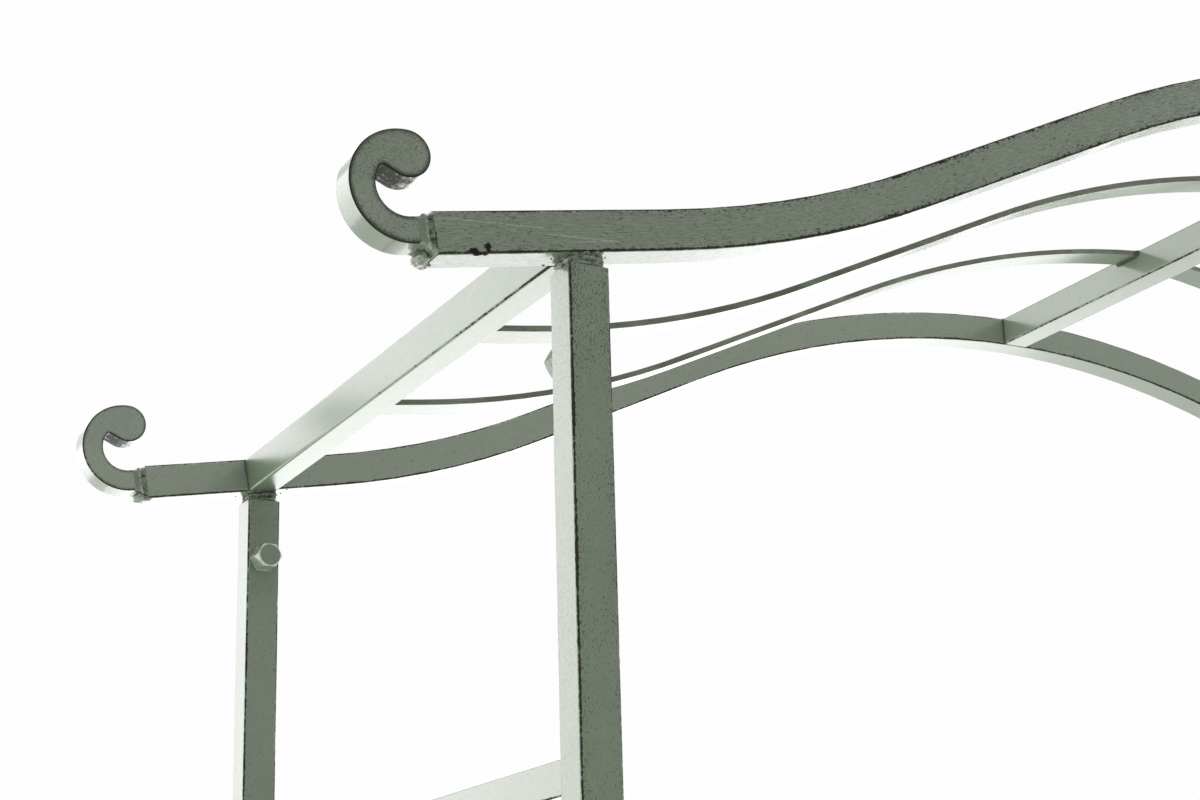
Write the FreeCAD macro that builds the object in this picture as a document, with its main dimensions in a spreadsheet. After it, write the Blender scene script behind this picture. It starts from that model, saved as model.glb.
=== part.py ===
import FreeCAD, Part
import os
from math import cos, radians, sin
from types import SimpleNamespace

import Sketcher

# Garden arch of welded square tube: a canopy that drops into the posts of two side frames.
# X runs across the walkway, Y along it, Z up. The origin is on the ground under the ridge's middle.

# Driving dimensions in millimetres and degrees: name, value, what it measures
SIZES = (
    ("tube_size", 25, "outside of the square tube in posts, rails and cross bars"),
    ("tube_wall", 1.5, "wall of that tube"),
    ("tube_corner", 2, "outside corner radius of that tube"),
    ("span", 1458, "left post centre to right post centre"),
    ("depth", 538, "front post centre to back post centre"),
    ("post_top", 2050, "top of the posts above the ground"),
    ("rail_lift", 8.1, "rail underside above the post top, at the post centre"),
    ("eave_run", 53.8, "straight run of the rail from the post centre to the hollow bend"),
    ("eave_slope", 9.8, "slope of the rail over the post"),
    ("rail_slope", 25.3, "slope of the rail's steep straight run"),
    ("eave_bend", 690, "centreline radius of the hollow bend near the eave"),
    ("ridge_bend", 810, "centreline radius of the crown"),
    ("overhang", 94, "rail end beyond the post centre, along the rail"),
    ("eave_bar_shift", 2.1, "eave bar centre beyond the post centre, along the rail"),
    ("scroll_bar", 15.5, "height of the scroll's bar"),
    ("scroll_depth", 20, "width of the scroll's bar along the walkway"),
    ("scroll_bend", 25.3, "centreline radius of the scroll"),
    ("scroll_shank", 11.5, "straight shank outside the rail"),
    ("scroll_lift", 2.5, "shank centre above the rail's centre"),
    ("scroll_tail", 20, "straight shank inside the rail"),
    ("scroll_head", 14, "radius of the scroll's round head"),
    ("scroll_head_angle", 78, "direction of the head from the scroll's centre"),
    ("scroll_neck_angle", 145, "direction of the flat under the head"),
    ("scroll_notch", 2, "radius where the head meets the bar"),
    ("scroll_edge", 0.8, "chamfer of the scroll's edges"),
    ("scroll_weld_length", 11, "weld round the shank, along the rail"),
    ("scroll_weld_rim", 1, "thickness of that weld at its thin end"),
    ("slat_pitch", 168, "flat bar centre to flat bar centre"),
    ("slat_width", 25, "width of the flat bars"),
    ("slat_thickness", 4, "thickness of the flat bars"),
    ("slat_eave_slope", 7.1, "slope of the slat at the eave bar"),
    ("slat_slope", 24.9, "slope of the slat's steep straight run"),
    ("slat_ridge_slope", 5.4, "slope of the slat at the ridge bar"),
    ("slat_eave_bend", 718, "centreline radius of the slat's hollow bend"),
    ("slat_ridge_bend", 872, "centreline radius of the slat's crown bend"),
    ("slat_seat", 2.7, "slat centre above the middle of the eave bar's face"),
    ("spigot_size", 20, "outside of the square spigot"),
    ("spigot_wall", 2, "wall of the spigot"),
    ("spigot_corner", 1.5, "outside corner radius of the spigot"),
    ("spigot_depth", 90, "length of the spigot inside the post"),
    ("spigot_weld_size", 24, "width of the weld round the spigot"),
    ("bolt_size", 10, "diameter of the set bolt"),
    ("bolt_flats", 17, "bolt head and nut across the flats"),
    ("bolt_head", 6.4, "height of the bolt head"),
    ("bolt_crown", 16, "diameter of the flat on top of the bolt head"),
    ("bolt_chamfer", 30, "slope of the bolt head's chamfer"),
    ("bolt_drop", 46, "bolt below the post top"),
    ("nut_height", 8.4, "height of the welded nut"),
    ("thread_clearance", 0.15, "radial gap between bolt and nut"),
    ("bolt_hole_clearance", 0.5, "radial gap between bolt and post"),
    ("bolt_head_gap", 0.3, "gap between bolt head and nut"),
    ("bolt_tip_gap", 0.2, "gap between bolt tip and spigot"),
    ("rung_size", 20, "outside of the rungs' square tube"),
    ("rung_wall", 1.5, "wall of the rungs"),
    ("rung_corner", 1.5, "outside corner radius of the rungs"),
    ("rung_drop", 279, "top rung's centre below the post top"),
    ("rung_pitch", 400, "rung centre to rung centre"),
    ("foot_size", 80, "side of the square base plate"),
    ("foot_thickness", 5, "thickness of the base plate"),
    ("foot_corner", 6, "corner radius of the base plate"),
    ("foot_hole", 9, "diameter of the base plate's holes"),
    ("foot_hole_spacing", 56, "base plate hole to hole"),
)
RUNGS_PER_SIDE = 5
FOOT_HOLES = 4
HEX_SIDES = 6

# Places of a sketch that every sketch has, its origin point and its upright axis, and the points of an arc
ORIGIN = (-1, 1)
UPRIGHT = -2
START, END, CENTRE = range(1, 4)

FRONT, BACK = -1, 1
LEFT, RIGHT = -1, 1
SIDES = (("left", LEFT), ("right", RIGHT))
CORNERS = (("front_left", LEFT, FRONT), ("front_right", RIGHT, FRONT),
           ("back_left", LEFT, BACK), ("back_right", RIGHT, BACK))

Vector = FreeCAD.Vector
Rotation = FreeCAD.Rotation
Placement = FreeCAD.Placement
ACROSS, ALONG, UP = Vector(1, 0, 0), Vector(0, 1, 0), Vector(0, 0, 1)
NO_TURN = Rotation()
TOUCH = 1e-6

doc = FreeCAD.newDocument("garden_arch")


def fill_sheet():
    """Writes the driving dimensions into the sheet and returns them by name."""
    sheet = doc.addObject("Spreadsheet::Sheet", "Sizes")
    for row, (name, value, note) in enumerate(SIZES, start=1):
        sheet.set("A%d" % row, name)
        sheet.set("B%d" % row, str(value))
        sheet.setAlias("B%d" % row, name)
        sheet.set("C%d" % row, note)
    doc.recompute()
    return SimpleNamespace(**{name: float(sheet.get(name)) for name, value, note in SIZES})


size = fill_sheet()

# Places worked out from the driving dimensions
EAVE = radians(size.eave_slope)
HALF_SPAN = size.span / 2
RAIL_UNDERSIDE = size.post_top + size.rail_lift
RAIL_OVER_POST = RAIL_UNDERSIDE + size.tube_size / 2 / cos(EAVE)
BOLT_HEIGHT = size.post_top - size.bolt_drop

# Sizes that several pieces share
TUBE = "Sizes.tube_size"
TUBE_BORE = "Sizes.tube_size - 2 * Sizes.tube_wall"
BETWEEN_RAILS = "Sizes.depth - Sizes.tube_size"
SPIGOT = "Sizes.spigot_size"
EAVE_ANGLE = "Sizes.eave_slope * 1 deg"


# Helpers for bodies, sketches and features

def new_body(label):
    body = doc.addObject("PartDesign::Body", label)
    body.Label = label
    return body


def origin_feature(body, role):
    return next(item for item in body.Origin.OriginFeatures if item.Role == role)


def new_sketch(body, role, name):
    sketch = body.newObject("Sketcher::SketchObject", body.Label + "_" + name)
    sketch.AttachmentSupport = [(origin_feature(body, role), "")]
    sketch.MapMode = "FlatFace"
    return sketch


def tie(sketch, *places):
    """Adds one geometric constraint."""
    return sketch.addConstraint(Sketcher.Constraint(*places))


def drive(sketch, name, expression, *places):
    """Adds one dimension, bound to the sheet."""
    index = tie(sketch, *places)
    sketch.renameConstraint(index, name)
    sketch.setExpression("Constraints." + name, expression)


def measure(sketch, name, *places):
    """Adds one dimension that the sketch's other constraints settle, for expressions to read."""
    index = tie(sketch, *places)
    sketch.renameConstraint(index, name)
    sketch.setDriving(index, False)


def line(sketch, start, end, construction=False):
    return sketch.addGeometry(Part.LineSegment(start, end), construction)


def arc(sketch, centre, radius, first, last):
    """Adds an arc that runs counter-clockwise between two angles in radians."""
    return sketch.addGeometry(Part.ArcOfCircle(Part.Circle(centre, UP, radius), first, last), False)


def rectangle(sketch, name, width, height):
    """Adds a rectangle centred on the sketch's origin, its sides given as expressions."""
    corners = [Vector(x, y) for x, y in ((-1, -1), (1, -1), (1, 1), (-1, 1))]
    sides = [line(sketch, corners[step], corners[(step + 1) % 4]) for step in range(4)]
    for step, side in enumerate(sides):
        tie(sketch, "Coincident", side, END, sides[(step + 1) % 4], START)
        tie(sketch, "Vertical" if step % 2 else "Horizontal", side)
    tie(sketch, "Symmetric", sides[0], START, sides[2], START, *ORIGIN)
    drive(sketch, name + "_width", width, "DistanceX", sides[0], START, sides[0], END, 2)
    drive(sketch, name + "_height", height, "DistanceY", sides[1], START, sides[1], END, 2)


def circle(sketch, diameter, right=None, above=None):
    """Adds a circle on the sketch's origin, or at the given distances from it."""
    index = sketch.addGeometry(Part.Circle(Vector(1 if right else 0, 1 if above else 0), UP, 1), False)
    drive(sketch, "diameter", diameter, "Diameter", index, 2)
    if right:
        drive(sketch, "right", right, "DistanceX", *ORIGIN, index, CENTRE, 1)
    else:
        tie(sketch, "PointOnObject", index, CENTRE, UPRIGHT)
    if above:
        drive(sketch, "above", above, "DistanceY", *ORIGIN, index, CENTRE, 1)


def pad(body, sketch, length, symmetric=False):
    feature = body.newObject("PartDesign::Pad", sketch.Name + "_pad")
    feature.Profile = sketch
    feature.SideType = "Symmetric" if symmetric else "One side"
    feature.setExpression("Length", length)
    doc.recompute()
    return feature


def pocket(body, sketch, depth=None, symmetric=False):
    """Cuts a sketch out of a body, to a depth or all the way, from its plane to one side or to both."""
    before = body.Shape.Volume
    feature = body.newObject("PartDesign::Pocket", sketch.Name + "_pocket")
    feature.Profile = sketch
    feature.SideType = "Symmetric" if symmetric else "One side"
    if depth:
        feature.setExpression("Length", depth)
    else:
        feature.Type = "ThroughAll"
    doc.recompute()
    if body.Shape.Volume > before - TOUCH:
        raise RuntimeError(feature.Name + " cuts nothing")
    return feature


def dress_edges(body, kind, measure, amount, wanted):
    """Rounds or chamfers every edge of a body that passes the test."""
    base = body.Tip
    names = ["Edge%d" % number for number, edge in enumerate(base.Shape.Edges, start=1) if wanted(edge)]
    feature = body.newObject("PartDesign::" + kind, body.Label + "_edges")
    feature.Base = (base, names)
    feature.setExpression(measure, amount)
    doc.recompute()


def round_edges(body, radius, wanted):
    dress_edges(body, "Fillet", "Radius", radius, wanted)


def chamfer_edges(body, width, wanted):
    dress_edges(body, "Chamfer", "Size", width, wanted)


def runs_along(direction, reach):
    """Test for straight edges along a direction, further than a reach from the body's own axis."""
    def wanted(edge):
        if not isinstance(edge.Curve, Part.Line):
            return False
        middle = edge.CenterOfMass
        from_axis = middle - direction * middle.dot(direction)
        return abs(edge.Curve.Direction.dot(direction)) > 1 - TOUCH and from_axis.Length > reach
    return wanted


def arc_on_side(radius, half_width):
    """Test for arcs of a radius on a bar's front or back face: the dressing runs on from them."""
    def wanted(edge):
        if not isinstance(edge.Curve, Part.Circle):
            return False
        on_side = abs(abs(edge.CenterOfMass.y) - half_width) < TOUCH
        return on_side and abs(edge.Curve.Radius - radius) < TOUCH
    return wanted


def combine(label, base, tool, kind):
    """Joins, cuts or intersects two primitives."""
    result = doc.addObject("Part::" + kind, label)
    result.Base = base
    result.Tool = tool
    result.Label = label
    return result


def primitive(kind, name, place=Vector(), **sizes):
    """Makes a Part primitive whose sizes are expressions."""
    item = doc.addObject("Part::" + kind, name)
    item.Placement = Placement(place, NO_TURN)
    for key, expression in sizes.items():
        item.setExpression(key, expression)
    return item


def group(label, pieces):
    """Puts like pieces into one node as separate solids."""
    node = doc.addObject("Part::Compound", label)
    node.Label = label
    node.Links = pieces
    return node


def half_turn(side):
    """The right half is the left half turned about the upright axis."""
    return Rotation(UP, 0 if side == LEFT else 180)


# Straight square tubes

def square_tube(label, role, kind, length, symmetric):
    """A square tube: its section on an origin plane, its long edges rounded."""
    body = new_body(label)
    section = new_sketch(body, role, "section")
    outside = "Sizes.%s_size" % kind
    bore = "Sizes.%s_size - 2 * Sizes.%s_wall" % (kind, kind)
    rectangle(section, "outside", outside, outside)
    rectangle(section, "bore", bore, bore)
    pad(body, section, length, symmetric)
    direction = UP if role == "XY_Plane" else ALONG
    side = getattr(size, kind + "_size")
    wall = getattr(size, kind + "_wall")
    past_bore = (side / 2 - wall / 2) * 2 ** 0.5
    round_edges(body, "Sizes.%s_corner" % kind, runs_along(direction, past_bore))
    return body


def cross_tube(label, kind, place, tilt=0):
    """A square tube along Y between the inner faces of the rails or posts."""
    body = square_tube(label, "XZ_Plane", kind, BETWEEN_RAILS, True)
    body.Placement = Placement(place, Rotation(ALONG, tilt))
    return body


def post(corner, side, end):
    body = square_tube(corner + "_post", "XY_Plane", "tube", "Sizes.post_top - Sizes.foot_thickness", False)
    hole = new_sketch(body, "XZ_Plane", "bolt_hole")
    height = "Sizes.post_top - Sizes.foot_thickness - Sizes.bolt_drop"
    circle(hole, "Sizes.bolt_size + 2 * Sizes.bolt_hole_clearance", above=height)
    pocket(body, hole)
    turn = Rotation(UP, 0 if end == FRONT else 180)
    body.Placement = Placement(Vector(side * HALF_SPAN, end * size.depth / 2, size.foot_thickness), turn)
    return body


# Bent bars: a crown bend, a straight run, a hollow bend and a run out to the eave

def bend_reach(slopes, radii):
    """Width and drop that a bent bar's two bends take up."""
    ridge, steep, eave = slopes
    crown, hollow = radii
    width = crown * (sin(steep) - sin(ridge)) + hollow * (sin(steep) - sin(eave))
    drop = crown * (cos(ridge) - cos(steep)) + hollow * (cos(eave) - cos(steep))
    return width, drop


def straight_runs(width, drop, slopes, radii):
    """Lengths of a bent bar's two straight runs, from the width and drop between its ends."""
    ridge, steep, eave = slopes
    bend_width, bend_drop = bend_reach(slopes, radii)
    width -= bend_width
    drop -= bend_drop
    steep_run = (drop * cos(eave) - width * sin(eave)) / sin(steep - eave)
    eave_run = (width * sin(steep) - drop * cos(steep)) / sin(steep - eave)
    return steep_run, eave_run


# The rail keeps its slopes and bends, so the ridge's height follows from the span
STEEP = radians(size.rail_slope)
RAIL_SLOPES = (0, STEEP, EAVE)
RAIL_RADII = (size.ridge_bend, size.eave_bend)
BEND_WIDTH, BEND_DROP = bend_reach(RAIL_SLOPES, RAIL_RADII)
STEEP_RUN = (HALF_SPAN - BEND_WIDTH - size.eave_run * cos(EAVE)) / cos(STEEP)
RISE = BEND_DROP + STEEP_RUN * sin(STEEP) + size.eave_run * sin(EAVE)
RIDGE_HEIGHT = RAIL_OVER_POST + RISE
MEASURED_RISE = "front_rail_outside.Constraints.rise / 1 mm"


def bent_bar(sketch, ridge_point, slopes, radii, runs, thickness, expressions):
    """Outlines the left half of a bent bar from its ridge end down to its eave end.

    The expressions are those of the crown radius, the hollow radius, the thickness and the steep slope.
    Returns the lines and arcs that a piece ties its ends to.
    """
    ridge, steep, eave = slopes
    crown, hollow = radii
    steep_run, eave_run = runs
    crown_expression, hollow_expression, thick_expression, steep_expression = expressions
    crown_centre = ridge_point + crown * Vector(sin(ridge), -cos(ridge))
    crown_foot = crown_centre + crown * Vector(-sin(steep), cos(steep))
    hollow_top = crown_foot - steep_run * Vector(cos(steep), sin(steep))
    hollow_centre = hollow_top + hollow * Vector(-sin(steep), cos(steep))
    hollow_foot = hollow_centre - hollow * Vector(-sin(eave), cos(eave))
    eave_point = hollow_foot - eave_run * Vector(cos(eave), sin(eave))
    quarter = radians(90)

    outline = SimpleNamespace()
    faces = []
    for name, way in (("top", 1), ("bottom", -1)):
        off = way * thickness / 2
        steep_off = off * Vector(-sin(steep), cos(steep))
        eave_off = off * Vector(-sin(eave), cos(eave))
        face = SimpleNamespace(
            crown=arc(sketch, crown_centre, crown + off, quarter + ridge, quarter + steep),
            steep=line(sketch, hollow_top + steep_off, crown_foot + steep_off),
            hollow=arc(sketch, hollow_centre, hollow - off, eave - quarter, steep - quarter),
            eave=line(sketch, eave_point + eave_off, hollow_foot + eave_off),
            ridge_corner=ridge_point + off * Vector(-sin(ridge), cos(ridge)),
            eave_corner=eave_point + eave_off)
        tie(sketch, "Tangent", face.eave, END, face.hollow, START)
        tie(sketch, "Tangent", face.hollow, END, face.steep, START)
        tie(sketch, "Tangent", face.steep, END, face.crown, END)
        sign = "+" if way > 0 else "-"
        turned = "-" if way > 0 else "+"
        crown_size = "%s %s (%s) / 2" % (crown_expression, sign, thick_expression)
        hollow_size = "%s %s (%s) / 2" % (hollow_expression, turned, thick_expression)
        drive(sketch, name + "_crown", crown_size, "Radius", face.crown, crown + off)
        drive(sketch, name + "_hollow", hollow_size, "Radius", face.hollow, hollow - off)
        faces.append(face)
    outline.top, outline.bottom = faces
    outline.ridge_end = line(sketch, outline.bottom.ridge_corner, outline.top.ridge_corner)
    outline.eave_end = line(sketch, outline.top.eave_corner, outline.bottom.eave_corner)
    tie(sketch, "Coincident", outline.ridge_end, START, outline.bottom.crown, START)
    tie(sketch, "Coincident", outline.ridge_end, END, outline.top.crown, START)
    tie(sketch, "Coincident", outline.eave_end, START, outline.top.eave, START)
    tie(sketch, "Coincident", outline.eave_end, END, outline.bottom.eave, START)
    tie(sketch, "Coincident", outline.top.crown, CENTRE, outline.bottom.crown, CENTRE)
    tie(sketch, "Coincident", outline.top.hollow, CENTRE, outline.bottom.hollow, CENTRE)
    drive(sketch, "steep_slope", steep_expression, "Angle", outline.top.steep, steep)
    return outline


def rail_outline(sketch, thickness, thick_expression):
    """Left half of the rail's side view, with the ridge's centre at the sketch's origin."""
    eave_length = size.eave_run + size.overhang
    expressions = ("Sizes.ridge_bend", "Sizes.eave_bend", thick_expression, "Sizes.rail_slope * 1 deg")
    outline = bent_bar(sketch, Vector(), RAIL_SLOPES, RAIL_RADII, (STEEP_RUN, eave_length),
                       thickness, expressions)
    for place in (START, END):
        tie(sketch, "PointOnObject", outline.ridge_end, place, UPRIGHT)
    tie(sketch, "PointOnObject", outline.top.crown, CENTRE, UPRIGHT)
    drive(sketch, "crown_depth", "Sizes.ridge_bend", "DistanceY",
          outline.top.crown, CENTRE, *ORIGIN, size.ridge_bend)

    over_post = Vector(-HALF_SPAN, -RISE)
    rail_end = over_post - size.overhang * Vector(cos(EAVE), sin(EAVE))
    overhang = line(sketch, rail_end, over_post, True)
    drive(sketch, "half_span", "Sizes.span / 2", "DistanceX", overhang, END, *ORIGIN, HALF_SPAN)
    drive(sketch, "eave_slope", EAVE_ANGLE, "Angle", overhang, EAVE)
    drive(sketch, "overhang", "Sizes.overhang", "Distance", overhang, size.overhang)
    drive(sketch, "eave_length", "Sizes.eave_run + Sizes.overhang", "Distance",
          outline.top.eave, eave_length)
    tie(sketch, "Symmetric", outline.eave_end, START, outline.eave_end, END, overhang, START)
    tie(sketch, "Perpendicular", outline.eave_end, overhang)
    tie(sketch, "Parallel", outline.top.eave, overhang)
    drive(sketch, "thickness", thick_expression, "Distance", outline.eave_end, thickness)
    measure(sketch, "rise", "DistanceY", overhang, END, *ORIGIN, RISE)


def rail(label, end):
    """A bent square tube: half its side view is padded, bored and mirrored about the ridge."""
    body = new_body(label)
    outside = new_sketch(body, "XZ_Plane", "outside")
    rail_outline(outside, size.tube_size, TUBE)
    solid = pad(body, outside, TUBE, True)
    inside = new_sketch(body, "XZ_Plane", "inside")
    rail_outline(inside, size.tube_size - 2 * size.tube_wall, TUBE_BORE)
    bore = pocket(body, inside, TUBE_BORE, True)
    mirrored = body.newObject("PartDesign::Mirrored", label + "_mirrored")
    mirrored.Originals = [solid, bore]
    mirrored.MirrorPlane = (origin_feature(body, "YZ_Plane"), [""])
    body.Tip = mirrored
    doc.recompute()
    half = size.tube_size / 2
    outer_arc = arc_on_side(size.ridge_bend + half, half)
    inner_arc = arc_on_side(size.ridge_bend - half, half)
    round_edges(body, "Sizes.tube_corner", lambda edge: outer_arc(edge) or inner_arc(edge))
    body.Placement = Placement(Vector(0, end * size.depth / 2, RIDGE_HEIGHT), NO_TURN)
    return body


def slat(corner, side, end):
    """A bent flat bar from the eave bar's inner face to the ridge bar, level with the ridge bar's top."""
    body = new_body(corner + "_slat")
    sketch = new_sketch(body, "XZ_Plane", "side_view")
    slopes = (radians(size.slat_ridge_slope), radians(size.slat_slope), radians(size.slat_eave_slope))
    radii = (size.slat_ridge_bend, size.slat_eave_bend)
    half_tube = size.tube_size / 2
    to_face = half_tube - size.eave_bar_shift
    half_slat = size.slat_thickness / 2
    ridge_point = Vector(-half_tube - half_slat * sin(slopes[0]), half_tube - half_slat * cos(slopes[0]))
    face_point = Vector(to_face * cos(EAVE) - HALF_SPAN, to_face * sin(EAVE) - RISE)
    eave_point = face_point + size.slat_seat * Vector(-sin(EAVE), cos(EAVE))
    reach = ridge_point - eave_point
    runs = straight_runs(reach.x, reach.y, slopes, radii)
    expressions = ("Sizes.slat_ridge_bend", "Sizes.slat_eave_bend", "Sizes.slat_thickness",
                   "Sizes.slat_slope * 1 deg")
    outline = bent_bar(sketch, ridge_point, slopes, radii, runs, size.slat_thickness, expressions)

    tie(sketch, "PointOnObject", outline.top.crown, CENTRE, outline.ridge_end)
    drive(sketch, "ridge_face", TUBE + " / 2", "DistanceX", outline.ridge_end, START, *ORIGIN, half_tube)
    drive(sketch, "ridge_top", TUBE + " / 2", "DistanceY", *ORIGIN, outline.ridge_end, END, half_tube)
    top_radius = size.slat_ridge_bend + half_slat
    drive(sketch, "ridge_slope",
          "(Sizes.slat_ridge_bend + Sizes.slat_thickness / 2) * sin(Sizes.slat_ridge_slope * 1 deg)",
          "DistanceX", outline.top.crown, START, outline.top.crown, CENTRE, top_radius * sin(slopes[0]))
    drive(sketch, "eave_slope", "Sizes.slat_eave_slope * 1 deg", "Angle", outline.top.eave, slopes[2])
    tie(sketch, "Parallel", outline.top.eave, outline.bottom.eave)

    seat = line(sketch, face_point, eave_point, True)
    to_face_expression = "(Sizes.tube_size / 2 - Sizes.eave_bar_shift)"
    drive(sketch, "face_across", "Sizes.span / 2 - %s * cos(%s)" % (to_face_expression, EAVE_ANGLE),
          "DistanceX", seat, START, *ORIGIN, -face_point.x)
    drive(sketch, "face_down", "%s - %s * sin(%s)" % (MEASURED_RISE, to_face_expression, EAVE_ANGLE),
          "DistanceY", seat, START, *ORIGIN, -face_point.y)
    drive(sketch, "face_slope", "(90 + Sizes.eave_slope) * 1 deg", "Angle", seat, radians(90) + EAVE)
    drive(sketch, "seat", "Sizes.slat_seat", "Distance", seat, size.slat_seat)
    tie(sketch, "Parallel", outline.eave_end, seat)
    tie(sketch, "Symmetric", outline.eave_end, START, outline.eave_end, END, seat, END)

    pad(body, sketch, "Sizes.slat_width", True)
    body.Placement = Placement(Vector(0, end * size.slat_pitch / 2, RIDGE_HEIGHT), half_turn(side))
    return body


# Scroll ends

def rail_end_placement(side, end):
    """Frame at the rail's end: its X axis runs up the rail, its Z axis out of the rail's top."""
    out = HALF_SPAN + size.overhang * cos(EAVE)
    place = Vector(side * out, end * size.depth / 2, RAIL_OVER_POST - size.overhang * sin(EAVE))
    return Placement(place, half_turn(side) * Rotation(ALONG, -size.eave_slope))


def scroll(corner, side, end):
    """A comma-shaped bar: a straight shank, a bend up and over, and a round head."""
    body = new_body(corner + "_scroll")
    sketch = new_sketch(body, "XZ_Plane", "side_view")
    half = size.scroll_bar / 2
    outer = size.scroll_bend + half
    inner = size.scroll_bend - half
    head_angle = radians(size.scroll_head_angle)
    neck_angle = radians(size.scroll_neck_angle)
    quarter = radians(90)
    neck_way = Vector(cos(neck_angle), sin(neck_angle))
    neck_down = Vector(-neck_way.y, neck_way.x)

    centre = Vector(-size.scroll_shank, size.scroll_lift + size.scroll_bend)
    low = size.scroll_lift - half
    high = size.scroll_lift + half
    head_centre = centre + (outer - size.scroll_head) * Vector(cos(head_angle), sin(head_angle))
    neck_start = head_centre + size.scroll_head * neck_down
    # the notch's arc touches the flat under the head and the inside of the bend
    to_centre = centre - neck_start
    below = to_centre.dot(neck_down) - size.scroll_notch
    reach = ((inner - size.scroll_notch) ** 2 - below ** 2) ** 0.5
    notch_centre = centre - below * neck_down + reach * neck_way
    neck_end = notch_centre - size.scroll_notch * neck_down
    notch_way = notch_centre - centre
    notch_angle = Vector(1, 0).getAngle(notch_way)

    low_shank = line(sketch, Vector(size.scroll_tail, low), Vector(-size.scroll_shank, low))
    back = arc(sketch, centre, outer, head_angle, 3 * quarter)
    head = arc(sketch, head_centre, size.scroll_head, neck_angle + quarter, head_angle + 4 * quarter)
    neck = line(sketch, neck_start, neck_end)
    notch = arc(sketch, notch_centre, size.scroll_notch, neck_angle - quarter, notch_angle)
    hollow = arc(sketch, centre, inner, notch_angle, 3 * quarter)
    high_shank = line(sketch, Vector(-size.scroll_shank, high), Vector(size.scroll_tail, high))
    tail_end = line(sketch, Vector(size.scroll_tail, high), Vector(size.scroll_tail, low))
    head_arm = line(sketch, centre, head_centre, True)

    tie(sketch, "Tangent", low_shank, END, back, END)
    tie(sketch, "Tangent", back, START, head, END)
    tie(sketch, "Tangent", head, START, neck, START)
    tie(sketch, "Tangent", neck, END, notch, START)
    tie(sketch, "Tangent", notch, END, hollow, START)
    tie(sketch, "Tangent", hollow, END, high_shank, START)
    tie(sketch, "Coincident", high_shank, END, tail_end, START)
    tie(sketch, "Coincident", tail_end, END, low_shank, START)
    tie(sketch, "Coincident", back, CENTRE, hollow, CENTRE)
    tie(sketch, "Coincident", head_arm, START, back, CENTRE)
    tie(sketch, "Coincident", head_arm, END, head, CENTRE)
    tie(sketch, "Horizontal", low_shank)
    tie(sketch, "Horizontal", high_shank)
    tie(sketch, "Vertical", tail_end)
    drive(sketch, "outside", "Sizes.scroll_bend + Sizes.scroll_bar / 2", "Radius", back, outer)
    drive(sketch, "inside", "Sizes.scroll_bend - Sizes.scroll_bar / 2", "Radius", hollow, inner)
    drive(sketch, "head", "Sizes.scroll_head", "Radius", head, size.scroll_head)
    drive(sketch, "notch", "Sizes.scroll_notch", "Radius", notch, size.scroll_notch)
    drive(sketch, "shank", "Sizes.scroll_shank", "DistanceX", back, CENTRE, *ORIGIN, size.scroll_shank)
    drive(sketch, "bend", "Sizes.scroll_lift + Sizes.scroll_bend", "DistanceY",
          *ORIGIN, back, CENTRE, centre.y)
    drive(sketch, "tail", "Sizes.scroll_tail", "DistanceX", *ORIGIN, tail_end, END, size.scroll_tail)
    drive(sketch, "head_angle", "Sizes.scroll_head_angle * 1 deg", "Angle", head_arm, head_angle)
    drive(sketch, "neck_angle", "Sizes.scroll_neck_angle * 1 deg", "Angle", neck, neck_angle)

    pad(body, sketch, "Sizes.scroll_depth", True)
    chamfer_edges(body, "Sizes.scroll_edge", arc_on_side(outer, size.scroll_depth / 2))
    body.Placement = rail_end_placement(side, end)
    return body


def scroll_weld(corner, side, end):
    """The weld that tapers from the rail's end onto the scroll's shank."""
    body = new_body(corner + "_scroll_weld")
    at_rail = new_sketch(body, "YZ_Plane", "at_rail")
    rectangle(at_rail, "rail", TUBE, TUBE)
    at_shank = new_sketch(body, "YZ_Plane", "at_shank")
    rim = " + 2 * Sizes.scroll_weld_rim"
    rectangle(at_shank, "rim", "Sizes.scroll_depth" + rim, "Sizes.scroll_bar" + rim)
    at_shank.setExpression("AttachmentOffset.Base.z", "-Sizes.scroll_weld_length")
    at_shank.setExpression("AttachmentOffset.Base.y", "Sizes.scroll_lift")
    doc.recompute()
    taper = body.newObject("PartDesign::AdditiveLoft", body.Label + "_taper")
    taper.Profile = at_rail
    taper.Sections = [at_shank]
    taper.Ruled = True
    doc.recompute()
    shank = new_sketch(body, "YZ_Plane", "shank")
    rectangle(shank, "shank", "Sizes.scroll_depth", "Sizes.scroll_bar")
    shank.setExpression("AttachmentOffset.Base.y", "Sizes.scroll_lift")
    pocket(body, shank)
    body.Placement = rail_end_placement(side, end)
    return body


# Spigots under the rails

def sloped_block(body, name, width, depth):
    """Sketches a block that hangs from the rail's sloping underside, over the post's centre."""
    sketch = new_sketch(body, "XZ_Plane", name)
    corners = [Vector(x, y) for x, y in ((1, -1), (-1, -1), (-1, 0), (1, 0))]
    low, left, top, right = [line(sketch, corners[step], corners[(step + 1) % 4]) for step in range(4)]
    for one, other in ((low, left), (left, top), (top, right), (right, low)):
        tie(sketch, "Coincident", one, END, other, START)
    tie(sketch, "Vertical", left)
    tie(sketch, "Vertical", right)
    tie(sketch, "Symmetric", low, START, low, END, UPRIGHT)
    tie(sketch, "PointOnObject", *ORIGIN, top)
    drive(sketch, "width", width, "DistanceX", low, END, low, START, 2)
    drive(sketch, "depth", depth, "DistanceY", low, START, *ORIGIN, 2)
    drive(sketch, "slope", EAVE_ANGLE, "Angle", top, EAVE)
    return sketch


def under_rail_placement(side, end):
    return Placement(Vector(side * HALF_SPAN, end * size.depth / 2, RAIL_UNDERSIDE), half_turn(side))


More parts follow.
